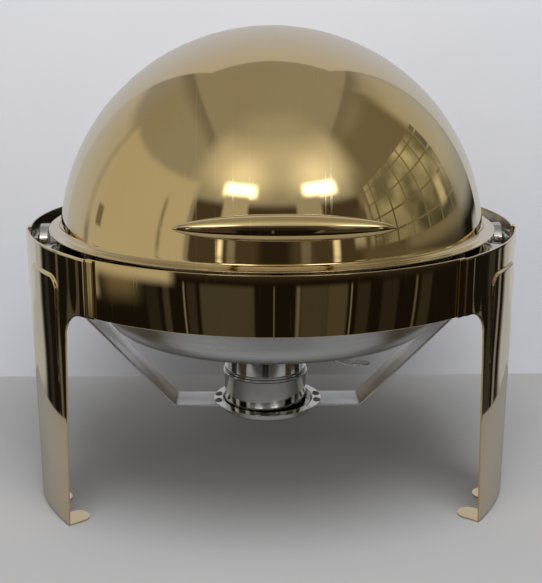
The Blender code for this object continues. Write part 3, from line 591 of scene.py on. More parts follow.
def cover_handle(look):
    """A long spindle that thins to a small rounded point at both ends."""
    low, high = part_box("cover_handle")
    half = (high.x - low.x) / 2.0
    steps = 96
    profile = []
    for step in range(steps + 1):
        x = -half * cos(pi * step / steps)
        profile.append((handle_radius(x) if 0 < step < steps else 0.0, x))
    mesh = move(turned(profile, SMALL, closed=False), centre("cover_handle"), (1.0, 0.0, 0.0))
    return stand_for("cover_handle", mesh, look)


def handle_post(node, look):
    """A waisted post with a washer-like foot on the dome and a saddle under the handle."""
    out, reach = handle_axis()
    post_x = centre(node).x
    foot_r = (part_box(node)[1].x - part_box(node)[0].x) / 2.0
    neck_r = foot_r - 1.0 * MM
    gap = 0.3 * MM
    start = sqrt(DOME_R ** 2 - (abs(post_x) - foot_r) ** 2) + gap
    length = reach - handle_radius(abs(post_x - centre("cover_handle").x) - neck_r) - gap - start
    waist_r = neck_r - 0.7 * MM
    profile = soften([(0.0, 0.0), (foot_r, 0.0, 0.3 * MM), (foot_r, 1.4 * MM, 0.5 * MM),
                      (waist_r, 2.6 * MM, 1.2 * MM), (waist_r, length - 3.2 * MM, 1.5 * MM),
                      (neck_r, length - 1.2 * MM, 0.6 * MM), (neck_r, length, 0.3 * MM), (0.0, length)],
                     closed=False, steps=6)
    place = Vector((post_x, 0.0, PIVOT.z)) + out * start
    return stand_for(node, move(turned(profile, SMALL, closed=False), place, out), look)


def handle_screw(node, look):
    """Pan-head screw with a cross recess, seen only inside the cover."""
    out, _ = handle_axis()
    post_x = centre(node).x
    head_r = 5.2 * MM
    inside = sqrt((DOME_R - DOME_WALL) ** 2 - (abs(post_x) + head_r) ** 2) - 1.0 * MM
    profile = soften([(0.0, -2.4 * MM), (3.4 * MM, -2.4 * MM, 1.5 * MM), (head_r, -1.0 * MM, 0.8 * MM),
                      (head_r, 0.0, 0.2 * MM), (2.6 * MM, 0.0), (2.6 * MM, 0.6 * MM), (0.0, 0.6 * MM)],
                     closed=False, steps=5)
    place = Vector((post_x, 0.0, PIVOT.z)) + out * inside
    head = new_object(node + "_skin", move(turned(profile, 48, closed=False), place, out), look)
    across = Vector((1.0, 0.0, 0.0))
    other = out.cross(across)
    tools = []
    for wide in (across, other):
        thin = out.cross(wide)
        mesh = bmesh.new()
        bmesh.ops.create_cube(mesh, size=1.0)
        size = Matrix.Diagonal((5.2 * MM, 1.1 * MM, 2.6 * MM, 1.0))
        turn = Matrix((wide, thin, out)).transposed().to_4x4()
        middle = Matrix.Translation(place - out * 2.4 * MM)
        bmesh.ops.transform(mesh, matrix=middle @ turn @ size, verts=mesh.verts)
        tools.append(new_object("slot_tool", mesh, None))
    return settle(cut(head, tools), node)


def pivot_ear(node, side, look):
    """The cover's hinge ear: a foot strip and a round-ended plate with a bolt hole."""
    low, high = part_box(node)
    radius = PIVOT.z - low.z
    half = high.y
    top = high.z - PIVOT.z
    bottom = top - 2.0 * MM
    outer_x, inner_x = (high.x, low.x) if side > 0 else (-low.x, -high.x)
    plate_x = (inner_x + 1.9 * MM, inner_x + 4.4 * MM)
    join_z = bottom + 0.3 * MM
    outline = [(-radius, join_z)] + arc((0.0, 0.0), radius, 180.0, 360.0, 40) + [(radius, join_z)]
    to_point = at_side(side)
    plate = new_object(node + "_skin", prism(outline, to_point, plate_x), look)
    strip = soften([(-half, bottom, 0.6 * MM), (half, bottom, 0.6 * MM), (half, top, 0.4 * MM),
                    (-half, top, 0.4 * MM)])
    strip_tool = new_object("strip", prism(strip, to_point, (inner_x, outer_x)), look)
    combine(plate, strip_tool, "UNION")
    hole_place = (side * sum(plate_x) / 2.0, 0.0, PIVOT.z)
    cut(plate, [drill(hole_place, (1.0, 0.0, 0.0), 4.4 * MM, 6.0 * MM)])
    bpy.data.objects.remove(strip_tool)
    bevel(plate, 0.35 * MM)
    return settle(plate, node)


def at_side(side):
    """Place a (y, z from the pivot) outline at a distance x from the middle, on one side."""
    return lambda y, z, x: (side * x, y, PIVOT.z + z)


# ------------------------------------------------------------------ ring stand

def band(node, start, end, look, lining):
    """One curved length of the ring with rounded upper and lower edges."""
    edge = 0.6 * MM
    section = soften([(BAND_R - SHEET, BAND_LOW_Z, edge), (BAND_R, BAND_LOW_Z, edge),
                      (BAND_R, BAND_TOP_Z, edge), (BAND_R - SHEET, BAND_TOP_Z, edge)])
    steps = int((end - start) / 0.75)
    azimuths = [start + (end - start) * step / steps for step in range(steps + 1)]
    return line_with(stand_for(node, swept(lambda azimuth: section, azimuths), look), lining)


def smooth(value):
    value = max(0.0, min(1.0, value))
    return value * value * (3.0 - 2.0 * value)


def leg_half(z):
    """Half angle of the leg at a height, without the fillets."""
    down = max(0.0, min(1.0, (BAND_LOW_Z - z) / BAND_LOW_Z))
    return LEG_HALF_TOP + (LEG_HALF_FOOT - LEG_HALF_TOP) * down


def pressed(angle, z):
    """How far the pressed field stands out at a point of the panel: 1 inside, 0 outside."""
    arc_length = radians(abs(angle)) * LEG_R
    half_width = radians(EMBOSS_HALF * leg_half(z) / LEG_HALF_TOP) * LEG_R
    across = arc_length - (half_width - EMBOSS_CORNER)
    up = z - (EMBOSS_TOP_Z - EMBOSS_CORNER)
    outside = hypot(max(across, 0.0), max(up, 0.0)) - EMBOSS_CORNER + min(max(across, up), 0.0)
    field = 1.0 - smooth((outside + EMBOSS_EDGE) / (2.0 * EMBOSS_EDGE))
    fade = smooth((z - (EMBOSS_TOP_Z - 100.0 * MM)) / (70.0 * MM))
    return field * fade


def panel_radius(angle, z):
    """Radius of the leg panel's outer face: the raised field, and the step in to the lap."""
    lap_r = BAND_R + 0.3 * MM + SHEET
    step_in = smooth((abs(angle) - LEG_STEP) / (LEG_JOGGLE - LEG_STEP))
    if z < BAND_LOW_Z - 0.1 * MM:
        step_in = 0.0
    field = pressed(angle, z)
    sunk = smooth((LEG_FLARE - abs(angle)) / 4.0) * smooth((z - EMBOSS_TOP_Z + 60.0 * MM) / (55.0 * MM))
    panel = LEG_R - EMBOSS_SINK * sunk * (1.0 - field) + EMBOSS_RISE * field
    return panel + (lap_r - LEG_R) * step_in


def spread(stops):
    """Values through a list of (value, steps to the next) stops."""
    values = []
    for (here, steps), (there, _) in zip(stops, stops[1:]):
        values += [here + (there - here) * step / steps for step in range(steps)]
    return values + [stops[-1][0]]


def panel_columns(z, half):
    """Angles of the panel's columns from the middle out, denser at the edge of the raised field."""
    shrink = leg_half(z) / LEG_HALF_TOP
    edge = EMBOSS_HALF * shrink
    tab = TAB_INNER * LEG_HALF_TOP / LEG_HALF_FOOT * shrink
    right = spread([(0.0, 4), (tab, 4), (edge - 2.8 * shrink, 12), (edge - 0.6 * shrink, 8),
                    (edge + 0.5 * shrink, 8), (half, 1)])
    return [-angle for angle in reversed(right)] + right[1:]


def panel_rows():
    """Rows below the ring: (height, half angle) down the fillets and the straight leg."""
    flare = LEG_FLARE - LEG_HALF_TOP
    rows = []
    for step in range(17):
        turn = radians(90.0 * step / 16)
        z = BAND_LOW_Z - FILLET_HEIGHT * (1.0 - cos(turn))
        rows.append((z, leg_half(z) + flare * (1.0 - sin(turn))))
    top = rows[-1][0]
    for step in range(1, 41):
        z = top + (TAB_BEND - top) * step / 40
        rows.append((z, leg_half(z)))
    return rows


def knit(mesh, upper, lower):
    for step in range(len(upper) - 1):
        mesh.faces.new((upper[step], lower[step], lower[step + 1], upper[step + 1]))


def foot_tab(mesh, bottom, angles, middle_azimuth):
    """Bend one tab inwards with a smooth curve and round its end."""
    middle = (angles[0] + angles[-1]) / 2.0
    half = abs(angles[-1] - angles[0]) / 2.0
    previous = bottom
    for step in range(1, 9):
        turn = radians(90.0 * step / 8)
        radius = LEG_R - TAB_BEND * (1.0 - cos(turn))
        z = TAB_BEND * (1.0 - sin(turn))
        row = [mesh.verts.new(polar(radius, middle_azimuth + angle, z)) for angle in angles]
        knit(mesh, previous, row)
        previous = row
    straight = TAB_LENGTH - TAB_BEND
    for step in range(1, 13):
        row = []
        for angle in angles:
            across = min(1.0, abs(angle - middle) / half)
            round_off = 9.0 * MM * (1.0 - sqrt(max(0.0, 1.0 - 0.97 * across * across)))
            radius = LEG_R - TAB_BEND - (straight - round_off) * step / 12
            row.append(mesh.verts.new(polar(radius, middle_azimuth + angle, 0.0)))
        knit(mesh, previous, row)
        previous = row


def leg(node, middle_azimuth, look, lining, bored):
    """A leg panel: lapped wings, the pressed field, flared fillets and two bent foot tabs."""
    mesh = bmesh.new()
    core = panel_columns(BAND_LOW_Z, LEG_FLARE)
    wing = spread([(LEG_FLARE, 3), (LEG_STEP, 8), (LEG_JOGGLE, 4), (LEG_WING, 1)])[1:]
    angles = [-angle for angle in reversed(wing)] + core + wing
    heights = spread([(BAND_TOP_Z, 8), (EMBOSS_TOP_Z + 2.0 * MM, 20), (EMBOSS_TOP_Z - 12.0 * MM, 12),
                      (BAND_LOW_Z, 1)])
    previous = None
    for z in heights:
        row = [mesh.verts.new(polar(panel_radius(angle, z), middle_azimuth + angle, z)) for angle in angles]
        if previous:
            knit(mesh, previous, row)
        previous = row
    previous = previous[len(wing):-len(wing)]
    for z, half in panel_rows()[1:]:
        angles = panel_columns(z, half)
        row = [mesh.verts.new(polar(panel_radius(angle, z), middle_azimuth + angle, z)) for angle in angles]
        knit(mesh, previous, row)
        previous = row
    tab_columns = (len(angles) - 1) // 2 - 4 + 1
    foot_tab(mesh, previous[:tab_columns], angles[:tab_columns], middle_azimuth)
    foot_tab(mesh, previous[-tab_columns:], angles[-tab_columns:], middle_azimuth)
    panel = new_object(node + "_skin", mesh, look)
    panel.data.materials.append(lining)
    sheet = panel.modifiers.new("sheet", "SOLIDIFY")
    sheet.material_offset = 1
    sheet.thickness = SHEET
    sheet.offset = -1.0
    sheet.use_even_offset = True
    if bored:
        tab_azimuth = middle_azimuth - (LEG_HALF_FOOT + TAB_INNER) / 2.0
        place = polar(LEG_R - 0.62 * TAB_LENGTH, tab_azimuth, 0.0)
        cut(panel, [drill(place, (0.0, 0.0, 1.0), 1.7 * MM, 8.0 * MM)])
    bevel(panel, 0.3 * MM, 2, 50.0)
    return settle(panel, node)


def pan_shelf(look):
    """The flat seat for the pans, wide at the front, with rounded edges."""
    low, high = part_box("pan_shelf")
    edge = 0.5 * MM

    def section(azimuth):
        share = smooth((80.0 - abs(azimuth)) / 10.0)
        outer = SHELF_BACK_R + (SHELF_FRONT_R - SHELF_BACK_R) * share
        return soften([(SHELF_BORE_R, low.z, edge), (outer, low.z, edge), (outer, high.z, edge),
                       (SHELF_BORE_R, high.z, edge)], steps=3)

    azimuths = [-180.0 + 360.0 * step / 240 for step in range(240)]
    return stand_for("pan_shelf", swept(section, azimuths, closed=True), look)


def rest_pad(node, look):
    """A domed rubber button."""
    low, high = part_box(node)
    radius = (high.x - low.x) / 2.0
    tall = high.z - low.z
    profile = soften([(0.0, 0.0), (radius, 0.0, 0.5 * MM), (radius, tall * 0.6, 1.5 * MM),
                      (radius * 0.55, tall, 2.0 * MM), (0.0, tall)], closed=False, steps=5)
    return lathe(node, profile, 48, look)


def pivot_bracket(node, side, look):
    """The polished block that carries the pivot bolt, rounded all over."""
    low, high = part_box(node)
    inner_x, outer_x = (low.x, high.x) if side > 0 else (-high.x, -low.x)
    half = high.y
    base = low.z - PIVOT.z
    top = high.z - PIVOT.z
    crown = 20.0 * MM
    outline = soften([(-half, top - crown), (-half, base, 5.0 * MM), (half, base, 5.0 * MM),
                      (half, top - crown)], closed=False, steps=8)
    outline += [(half * cos(radians(a)), top - crown + crown * sin(radians(a))) for a in range(5, 180, 5)]
    block = new_object(node + "_skin", prism(outline, at_side(side), (inner_x, outer_x)), look)
    bevel(block, 1.1 * MM, 5, 60.0)
    return settle(block, node)


def pivot_bolt(node, side, look):
    """Shoulder bolt with a domed head."""
    low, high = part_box(node)
    head_r = (high.z - low.z) / 2.0
    reach = high.x - low.x
    head = 3.0 * MM
    shank = 4.0 * MM
    profile = soften([(0.0, 0.0), (4.6 * MM, 0.0, 1.2 * MM), (head_r, 1.0 * MM, 0.8 * MM),
                      (head_r, head, 0.3 * MM), (shank, head), (shank, reach, 0.4 * MM), (0.0, reach)],
                     closed=False, steps=5)
    return along_x(node, profile, side, look)


def ring_piece(node, side, look):
    """A washer or spacer round the pivot bolt, with rounded edges."""
    low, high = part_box(node)
    radius = (high.z - low.z) / 2.0
    length = high.x - low.x
    bore = 4.3 * MM
    edge = min(0.6 * MM, length * 0.35)
    profile = soften([(bore, 0.0, edge * 0.5), (radius, 0.0, edge), (radius, length, edge),
                      (bore, length, edge * 0.5)])
    return along_x(node, profile, side, look, closed=True)


def stop_pin(node, side, look):
    low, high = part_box(node)
    radius = (high.z - low.z) / 2.0
    length = high.x - low.x
    profile = soften([(0.0, 0.0), (radius, 0.0, 0.6 * MM), (radius, length, 0.3 * MM), (0.0, length)],
                     closed=False, steps=4)
    return along_x(node, profile, side, look, 32)


# ------------------------------------------------------------------------ pans

def pan(node, shape, look):
    """A round pan: rolled rim, flange, shoulder, tapered wall, rounded corner and flat base."""
    top_r, low_r, corner = shape
    low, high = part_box(node)
    wall = 1.0 * MM
    flange_r = high.x
    flange_z = high.z
    base_z = low.z
    lean = atan2(top_r - low_r, flange_z - base_z)
    bend = 4.0 * MM
    edge_r = wall / 2.0
    outer = arc((top_r + bend, flange_z - wall - bend), bend, 90.0, 180.0 - degrees(lean), 8)
    outer += arc((low_r - corner * cos(lean), base_z + corner), corner, -degrees(lean), -90.0, 16)
    outer += [(60.0 * MM, base_z), (0.0, base_z)]
    inner = [(0.0, base_z + wall), (60.0 * MM, base_z + wall)]
    inner += arc((low_r - corner * cos(lean), base_z + corner), corner - wall, -90.0, -degrees(lean), 16)
    inner += arc((top_r + bend, flange_z - wall - bend), bend + wall, 180.0 - degrees(lean), 90.0, 8)
    rim = arc((flange_r - edge_r, flange_z - edge_r), edge_r, 90.0, -90.0, 8)
    section = list(reversed(outer)) + list(reversed(rim)) + list(reversed(inner))
    return stand_for(node, turned(section, FINE, closed=False), look)


# ---------------------------------------------------------------------- burner

def strip_outline(path, thickness):
    """Closed outline of a strip that follows a path."""
    left = []
    right = []
    last = len(path) - 1
    for step, here in enumerate(path):
        back = (here - path[step - 1]).normalized() if step > 0 else None
        ahead = (path[step + 1] - here).normalized() if step < last else None
        back = back or ahead
        ahead = ahead or back
        normal = Vector((-(back.y + ahead.y), back.x + ahead.x)).normalized()
        stretch = thickness / 2.0 / normal.dot(Vector((-back.y, back.x)))
        left.append(here + normal * stretch)
        right.append(here - normal * stretch)
    return [tuple(point) for point in left + right[::-1]]


def burner_arm(node, side, look):
    """Flat strap from the ring to the tray, with smooth bends and broken edges."""
    low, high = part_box(node)
    outer_x = max(abs(low.x), abs(high.x)) - ARM_SHEET / 2.0
    end_x = min(abs(low.x), abs(high.x))
    flat_z = low.z + ARM_SHEET / 2.0
    corners = [(outer_x, high.z), (outer_x, ARM_BEND_Z, 6.0 * MM), (end_x + ARM_FOOT, flat_z, 9.0 * MM),
               (end_x, flat_z)]
    path = [Vector(point) for point in soften(corners, closed=False, steps=10)]
    outline = strip_outline(path, ARM_SHEET)
    mesh = prism(outline, lambda x, z, y: (side * x, y, z), (low.y, high.y))
    arm = new_object(node + "_skin", mesh, look)
    bevel(arm, 0.45 * MM, 3, 50.0)
    return settle(arm, node)


def arm_bolt(node, side, look):
    """Hexagon head with a chamfered crown."""
    low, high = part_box(node)
    tall = 3.0 * MM
    place = centre(node)
    place.x = low.x + tall if side > 0 else high.x - tall
    head = turned([(0.0, 0.0), (4.4 * MM, 0.0), (4.4 * MM, tall), (0.0, tall)], 6, closed=False)
    piece = new_object(node + "_skin", move(head, place, (-side, 0.0, 0.0)), look, 20.0)
    bevel(piece, 0.45 * MM, 3, 30.0)
    return settle(piece, node)


def burner_tray(look):
    """Round tray with a bright rolled rim and a sunk well."""
    low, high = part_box("burner_tray")
    radius = (high.x - low.x) / 2.0
    well = radius - 10.0 * MM
    sheet = 1.0 * MM
    rim = high.z - low.z
    floor = sheet
    bead = well - 9.6 * MM
    outer = well + sheet
    profile = soften([(0.0, floor), (bead - 1.4 * MM, floor, 0.4 * MM), (bead, floor + 0.5 * MM, 0.4 * MM),
                      (bead + 1.4 * MM, floor, 0.4 * MM), (well, floor, 2.0 * MM), (well, rim, 1.4 * MM),
                      (radius, rim, 0.45 * MM), (radius, rim - sheet, 0.45 * MM),
                      (outer + 0.8 * MM, rim - sheet, 1.0 * MM), (outer, rim - 3.0 * MM, 0.5 * MM),
                      (outer, 0.0, 2.6 * MM), (0.0, 0.0)], closed=False, steps=6)
    return lathe("burner_tray", profile, MEDIUM, look)


def rivet(node, look):
    """A set rivet: domed head above and a flat set end below."""
    low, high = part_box(node)
    tall = high.z - low.z
    head_r = (high.x - low.x) / 2.0
    shank = 2.2 * MM
    grip = 1.1 * MM
    crown = 1.6 * MM
    under = tall - crown
    profile = [(0.0, tall)]
    for angle in range(10, 91, 10):
        profile.append((head_r * sin(radians(angle)), under + crown * cos(radians(angle))))
    profile += soften([(head_r, under), (shank, under), (shank, grip), (head_r - 0.4 * MM, grip, 0.3 * MM),
                       (head_r - 0.8 * MM, 0.0, 0.4 * MM), (0.0, 0.0)], closed=False, steps=4)[1:]
    return lathe(node, profile, 40, look)


def fuel_cup(look):
    """Deep-drawn cup with a rolled bead under its rim."""
    low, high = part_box("fuel_cup")
    bead_r = (high.x - low.x) / 2.0
    radius = bead_r - 1.2 * MM
    wall = 0.8 * MM
    tall = high.z - low.z
    bead = arc((bead_r - 1.4 * MM, tall - 1.5 * MM), 1.4 * MM, -60.0, 90.0, 10)
    dish = 0.8 * MM
    profile = soften([(0.0, dish), (radius - 8.0 * MM, dish, 1.0 * MM), (radius - 7.0 * MM, 0.0, 1.0 * MM),
                      (radius, 0.0, 2.2 * MM), (radius, 4.0 * MM)], closed=False, steps=6)
    profile += [(radius, tall - 3.6 * MM)] + bead
    profile += soften([(radius - wall, tall), (radius - wall, wall + 0.9 * MM, 2.2 * MM),
                       (radius - 8.0 * MM, dish + wall), (0.0, dish + wall)], closed=False, steps=6)
    return lathe("fuel_cup", profile, MEDIUM, look)


def fuel_collar(look):
    """Collar with a seating flange, a rounded shoulder and the flame opening."""
    low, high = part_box("fuel_collar")
    flange_r = (high.x - low.x) / 2.0
    radius = flange_r - 2.2 * MM
    wall = 0.8 * MM
    top = high.z - low.z
    seat = 8.0 * MM
    mouth = 22.0 * MM
    edge = 0.35 * MM
    lip = mouth + 2.0 * MM
    inner = radius - wall
    profile = soften([(radius, 0.0, edge), (radius, seat), (flange_r, seat, 0.5 * MM),
                      (flange_r, seat + 1.3 * MM, 0.5 * MM), (radius, seat + 1.6 * MM, 0.5 * MM),
                      (radius, top, 3.0 * MM), (lip, top, 0.6 * MM), (mouth, top - 0.3 * MM, edge),
                      (mouth, top - wall, edge), (lip, top - wall, 0.4 * MM), (inner, top - wall, 2.2 * MM),
                      (inner, 0.0, edge)], steps=6)
    return lathe("fuel_collar", profile, MEDIUM, look, closed=True)


def lever_run():
    """The damper lever's angle from +X, and how far its rivet is from the collar's centre."""
    run = DAMPER_PIVOT - centre("fuel_cup")
    return atan2(run.y, run.x), hypot(run.x, run.y)


def damper_point(out, across, height):
    """A point by its distance along the lever from the rivet, across it, and above the underside."""
    turn, _ = lever_run()
    x = DAMPER_PIVOT.x + out * cos(turn) - across * sin(turn)
    y = DAMPER_PIVOT.y + out * sin(turn) + across * cos(turn)
    return (x, y, DAMPER_PIVOT.z + DAMPER_GAP + height)


def lever_strip(start, look):
    """The cranked lever, from a distance beyond the rivet out to its end."""
    middle = DAMPER_SHEET / 2.0
    crank = soften([(start, middle), (start + 20.0 * MM, middle, 5.0 * MM),
                    (LEVER_LENGTH - 12.0 * MM, middle - LEVER_DROP, 5.0 * MM),
                    (LEVER_LENGTH, middle - LEVER_DROP)], closed=False, steps=8)
    strip = strip_outline([Vector(point) for point in crank], DAMPER_SHEET)
    half = LEVER_HALF - 0.6 * MM
    mesh = prism(strip, lambda out, height, across: damper_point(out, across, height), (-half, half))
    return new_object("lever_tool", mesh, look)


def damper_plate(look):
    """The lid over the flame opening and its cranked lever, in one pressed piece."""
    neck = LEVER_HALF + 1.0 * MM
    radius = 25.0 * MM
    reach = 12.0 * MM
    _, back = lever_run()
    meet = degrees(asin(neck / radius))
    outline = arc((-back, 0.0), radius, meet, 360.0 - meet, 96)
    root = LEVER_HALF - 0.6 * MM
    outline += soften([(0.0, -neck, 2.0 * MM), (reach, -root), (reach, root), (0.0, neck, 2.0 * MM)],
                      closed=False)
    plate = new_object("damper_plate_skin", prism(outline, damper_point, (0.0, DAMPER_SHEET)), look)
    lever = lever_strip(reach - 2.0 * MM, look)
    combine(plate, lever, "UNION")
    cut(plate, [drill(DAMPER_PIVOT, (0.0, 0.0, 1.0), 2.5 * MM, 8.0 * MM)])
    bpy.data.objects.remove(lever)
    bevel(plate, 0.25 * MM, 2, 50.0)
    return settle(plate, "damper_plate")


def damper_grip(look):
    """The rounded finger tab on the lever's end."""
    start = LEVER_LENGTH - 7.0 * MM
    radius = 7.0 * MM
    chamfer = 1.0 * MM
    low = DAMPER_SHEET + 0.3 * MM - LEVER_DROP
    outline = [(start, radius - chamfer), (start, chamfer - radius), (start + chamfer, -radius)]
    outline += arc((start + 9.0 * MM, 0.0), radius, -90.0, 90.0, 32)
    outline += [(start + chamfer, radius)]
    grip = new_object("damper_grip_skin", prism(outline, damper_point, (low, low + 1.6 * MM)), look)
    bevel(grip, 0.5 * MM, 3, 50.0)
    return settle(grip, "damper_grip")


# ---------------------------------------------------------------------- studio

def box_mask(tree, value, middle, half, soft):
    """1 within half of the middle, falling to 0 over the soft edge."""
    away = calc(tree, "ABSOLUTE", calc(tree, "SUBTRACT", value, middle))
    return ramp(tree, away, half + soft, max(half - soft, 0.0))


def patch(tree, sky, colour, under, box):
    """A soft-edged patch of colour; box is (azimuth, half, softness, height, half, softness) in degrees."""
    side, climb = sky
    side_at, side_half, side_soft, up_at, up_half, up_soft = box
    mask = times(tree, box_mask(tree, side, side_at, side_half, side_soft),
                box_mask(tree, climb, up_at, up_half, up_soft))
    return blend(tree, mask, under, colour)


def warm(tone, green, blue):
    """A warm grey."""
    return (tone, tone * green, tone * blue)


def below_table(tree, sky):
    """Dark below the table's edge, with upright strips that streak the ring, and the low back wall."""
    side, climb = sky
    room = (0.009, 0.0075, 0.006)
    for at, half, tone in STRIPS:
        room = patch(tree, sky, warm(tone, 0.93, 0.80), room, (at, half, min(0.8, half), -21.0, 12.0, 1.0))
    room = patch(tree, sky, (0.30, 0.29, 0.26), room, (-89.0, 3.0, 2.0, -11.0, 4.5, 1.5))
    room = patch(tree, sky, (0.15, 0.13, 0.09), room, (-73.0, 9.0, 6.0, -10.0, 4.5, 4.0))
    turned_away = ramp(tree, calc(tree, "ABSOLUTE", side), 131.0, 136.0)
    low_wall = times(tree, turned_away, box_mask(tree, climb, -12.0, 8.0, 1.5))
    return blend(tree, low_wall, room, (0.40, 0.40, 0.39))


def add_ceiling(tree, room, x, z, climb):
    """A grey ceiling with a crease on each side of the middle."""
    across = calc(tree, "DIVIDE", calc(tree, "ABSOLUTE", x), calc(tree, "MAXIMUM", z, 0.05))
    crease = times(tree, ramp(tree, across, 0.49, 0.52), ramp(tree, across, 0.68, 0.53))
    ceiling = blend(tree, crease, (0.30, 0.295, 0.28), (0.20, 0.195, 0.18))
    return blend(tree, ramp(tree, climb, -3.0, 4.0), room, ceiling)


def add_sides(tree, sky, room):
    """A pale wall on the left and a darker side on the right."""
    room = patch(tree, sky, (0.47, 0.45, 0.39), room, (-80.0, 34.0, 3.0, 13.0, 22.5, 2.0))
    room = patch(tree, sky, (0.46, 0.45, 0.41), room, (-132.0, 16.0, 4.0, 12.0, 20.0, 4.0))
    room = patch(tree, sky, (0.17, 0.155, 0.12), room, (84.0, 36.0, 5.0, 28.0, 30.0, 8.0))
    room = patch(tree, sky, (0.17, 0.16, 0.13), room, (-105.0, 2.5, 0.8, 5.0, 3.5, 0.8))
    return patch(tree, sky, (0.41, 0.40, 0.35), room, (128.0, 14.0, 5.0, 28.0, 18.0, 8.0))


def add_camera_side(tree, sky, room):
    """A sweep of light over a dark side, two lamps, and their light in soft upright streaks."""
    room = patch(tree, sky, (0.39, 0.38, 0.35), room, (2.0, 38.0, 26.0, 64.0, 12.0, 8.0))
    room = patch(tree, sky, (0.56, 0.55, 0.50), room, (2.0, 50.0, 10.0, 48.0, 12.0, 8.0))
    room = patch(tree, sky, (0.062, 0.050, 0.036), room, (2.0, 47.0, 2.0, 11.0, 17.0, 2.5))
    room = patch(tree, sky, (0.10, 0.085, 0.060), room, (60.0, 14.0, 4.0, 10.0, 12.0, 3.0))
    room = patch(tree, sky, (0.022, 0.018, 0.014), room, (0.0, 8.0, 3.0, 4.0, 9.0, 4.0))
    for at, half in ((-20.0, 9.0), (27.5, 9.5)):
        room = patch(tree, sky, (1.0, 0.98, 0.90), room, (at, half + 1.0, 13.0, 42.0, 6.0, 10.0))
        room = patch(tree, sky, (4.0, 4.0, 3.9), room, (at, half, 3.2, 35.0, 2.9, 2.2))
    for at, half, up, up_half, tone in STREAKS:
        room = patch(tree, sky, warm(tone, 0.97, 0.88), room, (at, half, 1.2, up, up_half, 3.0))
    return room


def add_wall_behind(tree, room, x, y, z):
    """The wall close behind the dish, up to where it meets the ceiling."""
    depth = calc(tree, "MAXIMUM", y, 0.02)
    aside = calc(tree, "DIVIDE", calc(tree, "ABSOLUTE", x), depth)
    above = calc(tree, "DIVIDE", z, depth)
    behind = times(tree, ramp(tree, aside, 0.80, 0.75), ramp(tree, above, 2.08, 1.98))
    behind = times(tree, behind, ramp(tree, above, -0.34, -0.30))
    behind = times(tree, behind, ramp(tree, y, 0.03, 0.06))
    return blend(tree, behind, room, (0.50, 0.50, 0.52))


def studio_world():
    """The room mirrored in the metal, by direction; the camera itself sees a plain pale grey."""
    world = bpy.data.worlds.new("studio")
    bpy.context.scene.world = world
    world.use_nodes = True
    tree = world.node_tree
    tree.nodes.clear()
    direction = add(tree, "TexCoord").outputs["Generated"]
    unit = add(tree, "VectorMath", {0: direction}, operation="NORMALIZE").outputs[0]
    x, y, z = add(tree, "SeparateXYZ", {0: unit}).outputs
    turn = calc(tree, "ARCTAN2", x, times(tree, y, -1.0))
    side = times(tree, turn, degrees(1.0))
    climb = times(tree, calc(tree, "ARCSINE", z), degrees(1.0))
    sky = (side, climb)
    room = below_table(tree, sky)
    room = add_ceiling(tree, room, x, z, climb)
    room = add_sides(tree, sky, room)
    room = add_camera_side(tree, sky, room)
    room = window(tree, room, x, y, z)
    room = patch(tree, sky, (0.50, 0.48, 0.38), room, (106.0, 3.0, 1.5, 13.0, 4.5, 2.0))
    room = add_wall_behind(tree, room, x, y, z)
    is_camera = add(tree, "LightPath").outputs["Is Camera Ray"]
    shown = blend(tree, is_camera, room, (0.50, 0.50, 0.54))
    background = add(tree, "Background", {"Color": shown, "Strength": 1.0})
    output = add(tree, "OutputWorld")
    tree.links.new(background.outputs[0], output.inputs["Surface"])


def window(tree, under, x, y, z):
    """A paned window in the right-hand wall of the room, brighter towards its top."""
    right = calc(tree, "MAXIMUM", x, 0.02)
    along = calc(tree, "DIVIDE", y, right)
    up = calc(tree, "DIVIDE", z, right)
    mask = times(tree, box_mask(tree, along, -0.10, 0.62, 0.01),
                box_mask(tree, up, 0.40, 0.33, 0.01))
    for value, pane in ((along, 0.207), (up, 0.165)):
        share = calc(tree, "FRACT", plus(tree, calc(tree, "DIVIDE", value, pane), 20.0))
        mask = times(tree, mask, box_mask(tree, share, 0.5, 0.455, 0.02))
    mask = times(tree, mask, ramp(tree, x, 0.05, 0.10))
    light = ramp(tree, noise(tree, vector(tree, along, up), 2.4, 2.0), 0.35, 0.65, 0.10, 0.34)
    light = times(tree, light, ramp(tree, up, 0.1, 0.7, 0.7, 1.5))
    glass = add(tree, "CombineColor", {0: light, 1: light, 2: times(tree, light, 0.78)})
    return blend(tree, mask, under, glass.outputs[0])


def cloth_tone(tree, place, colour):
    """A plain pale colour with the faintest cloudiness."""
    cloud = ramp(tree, noise(tree, place, 2.2, 4.0), 0.3, 0.7)
    return blend(tree, cloud, colour, tuple(0.96 * value for value in colour))


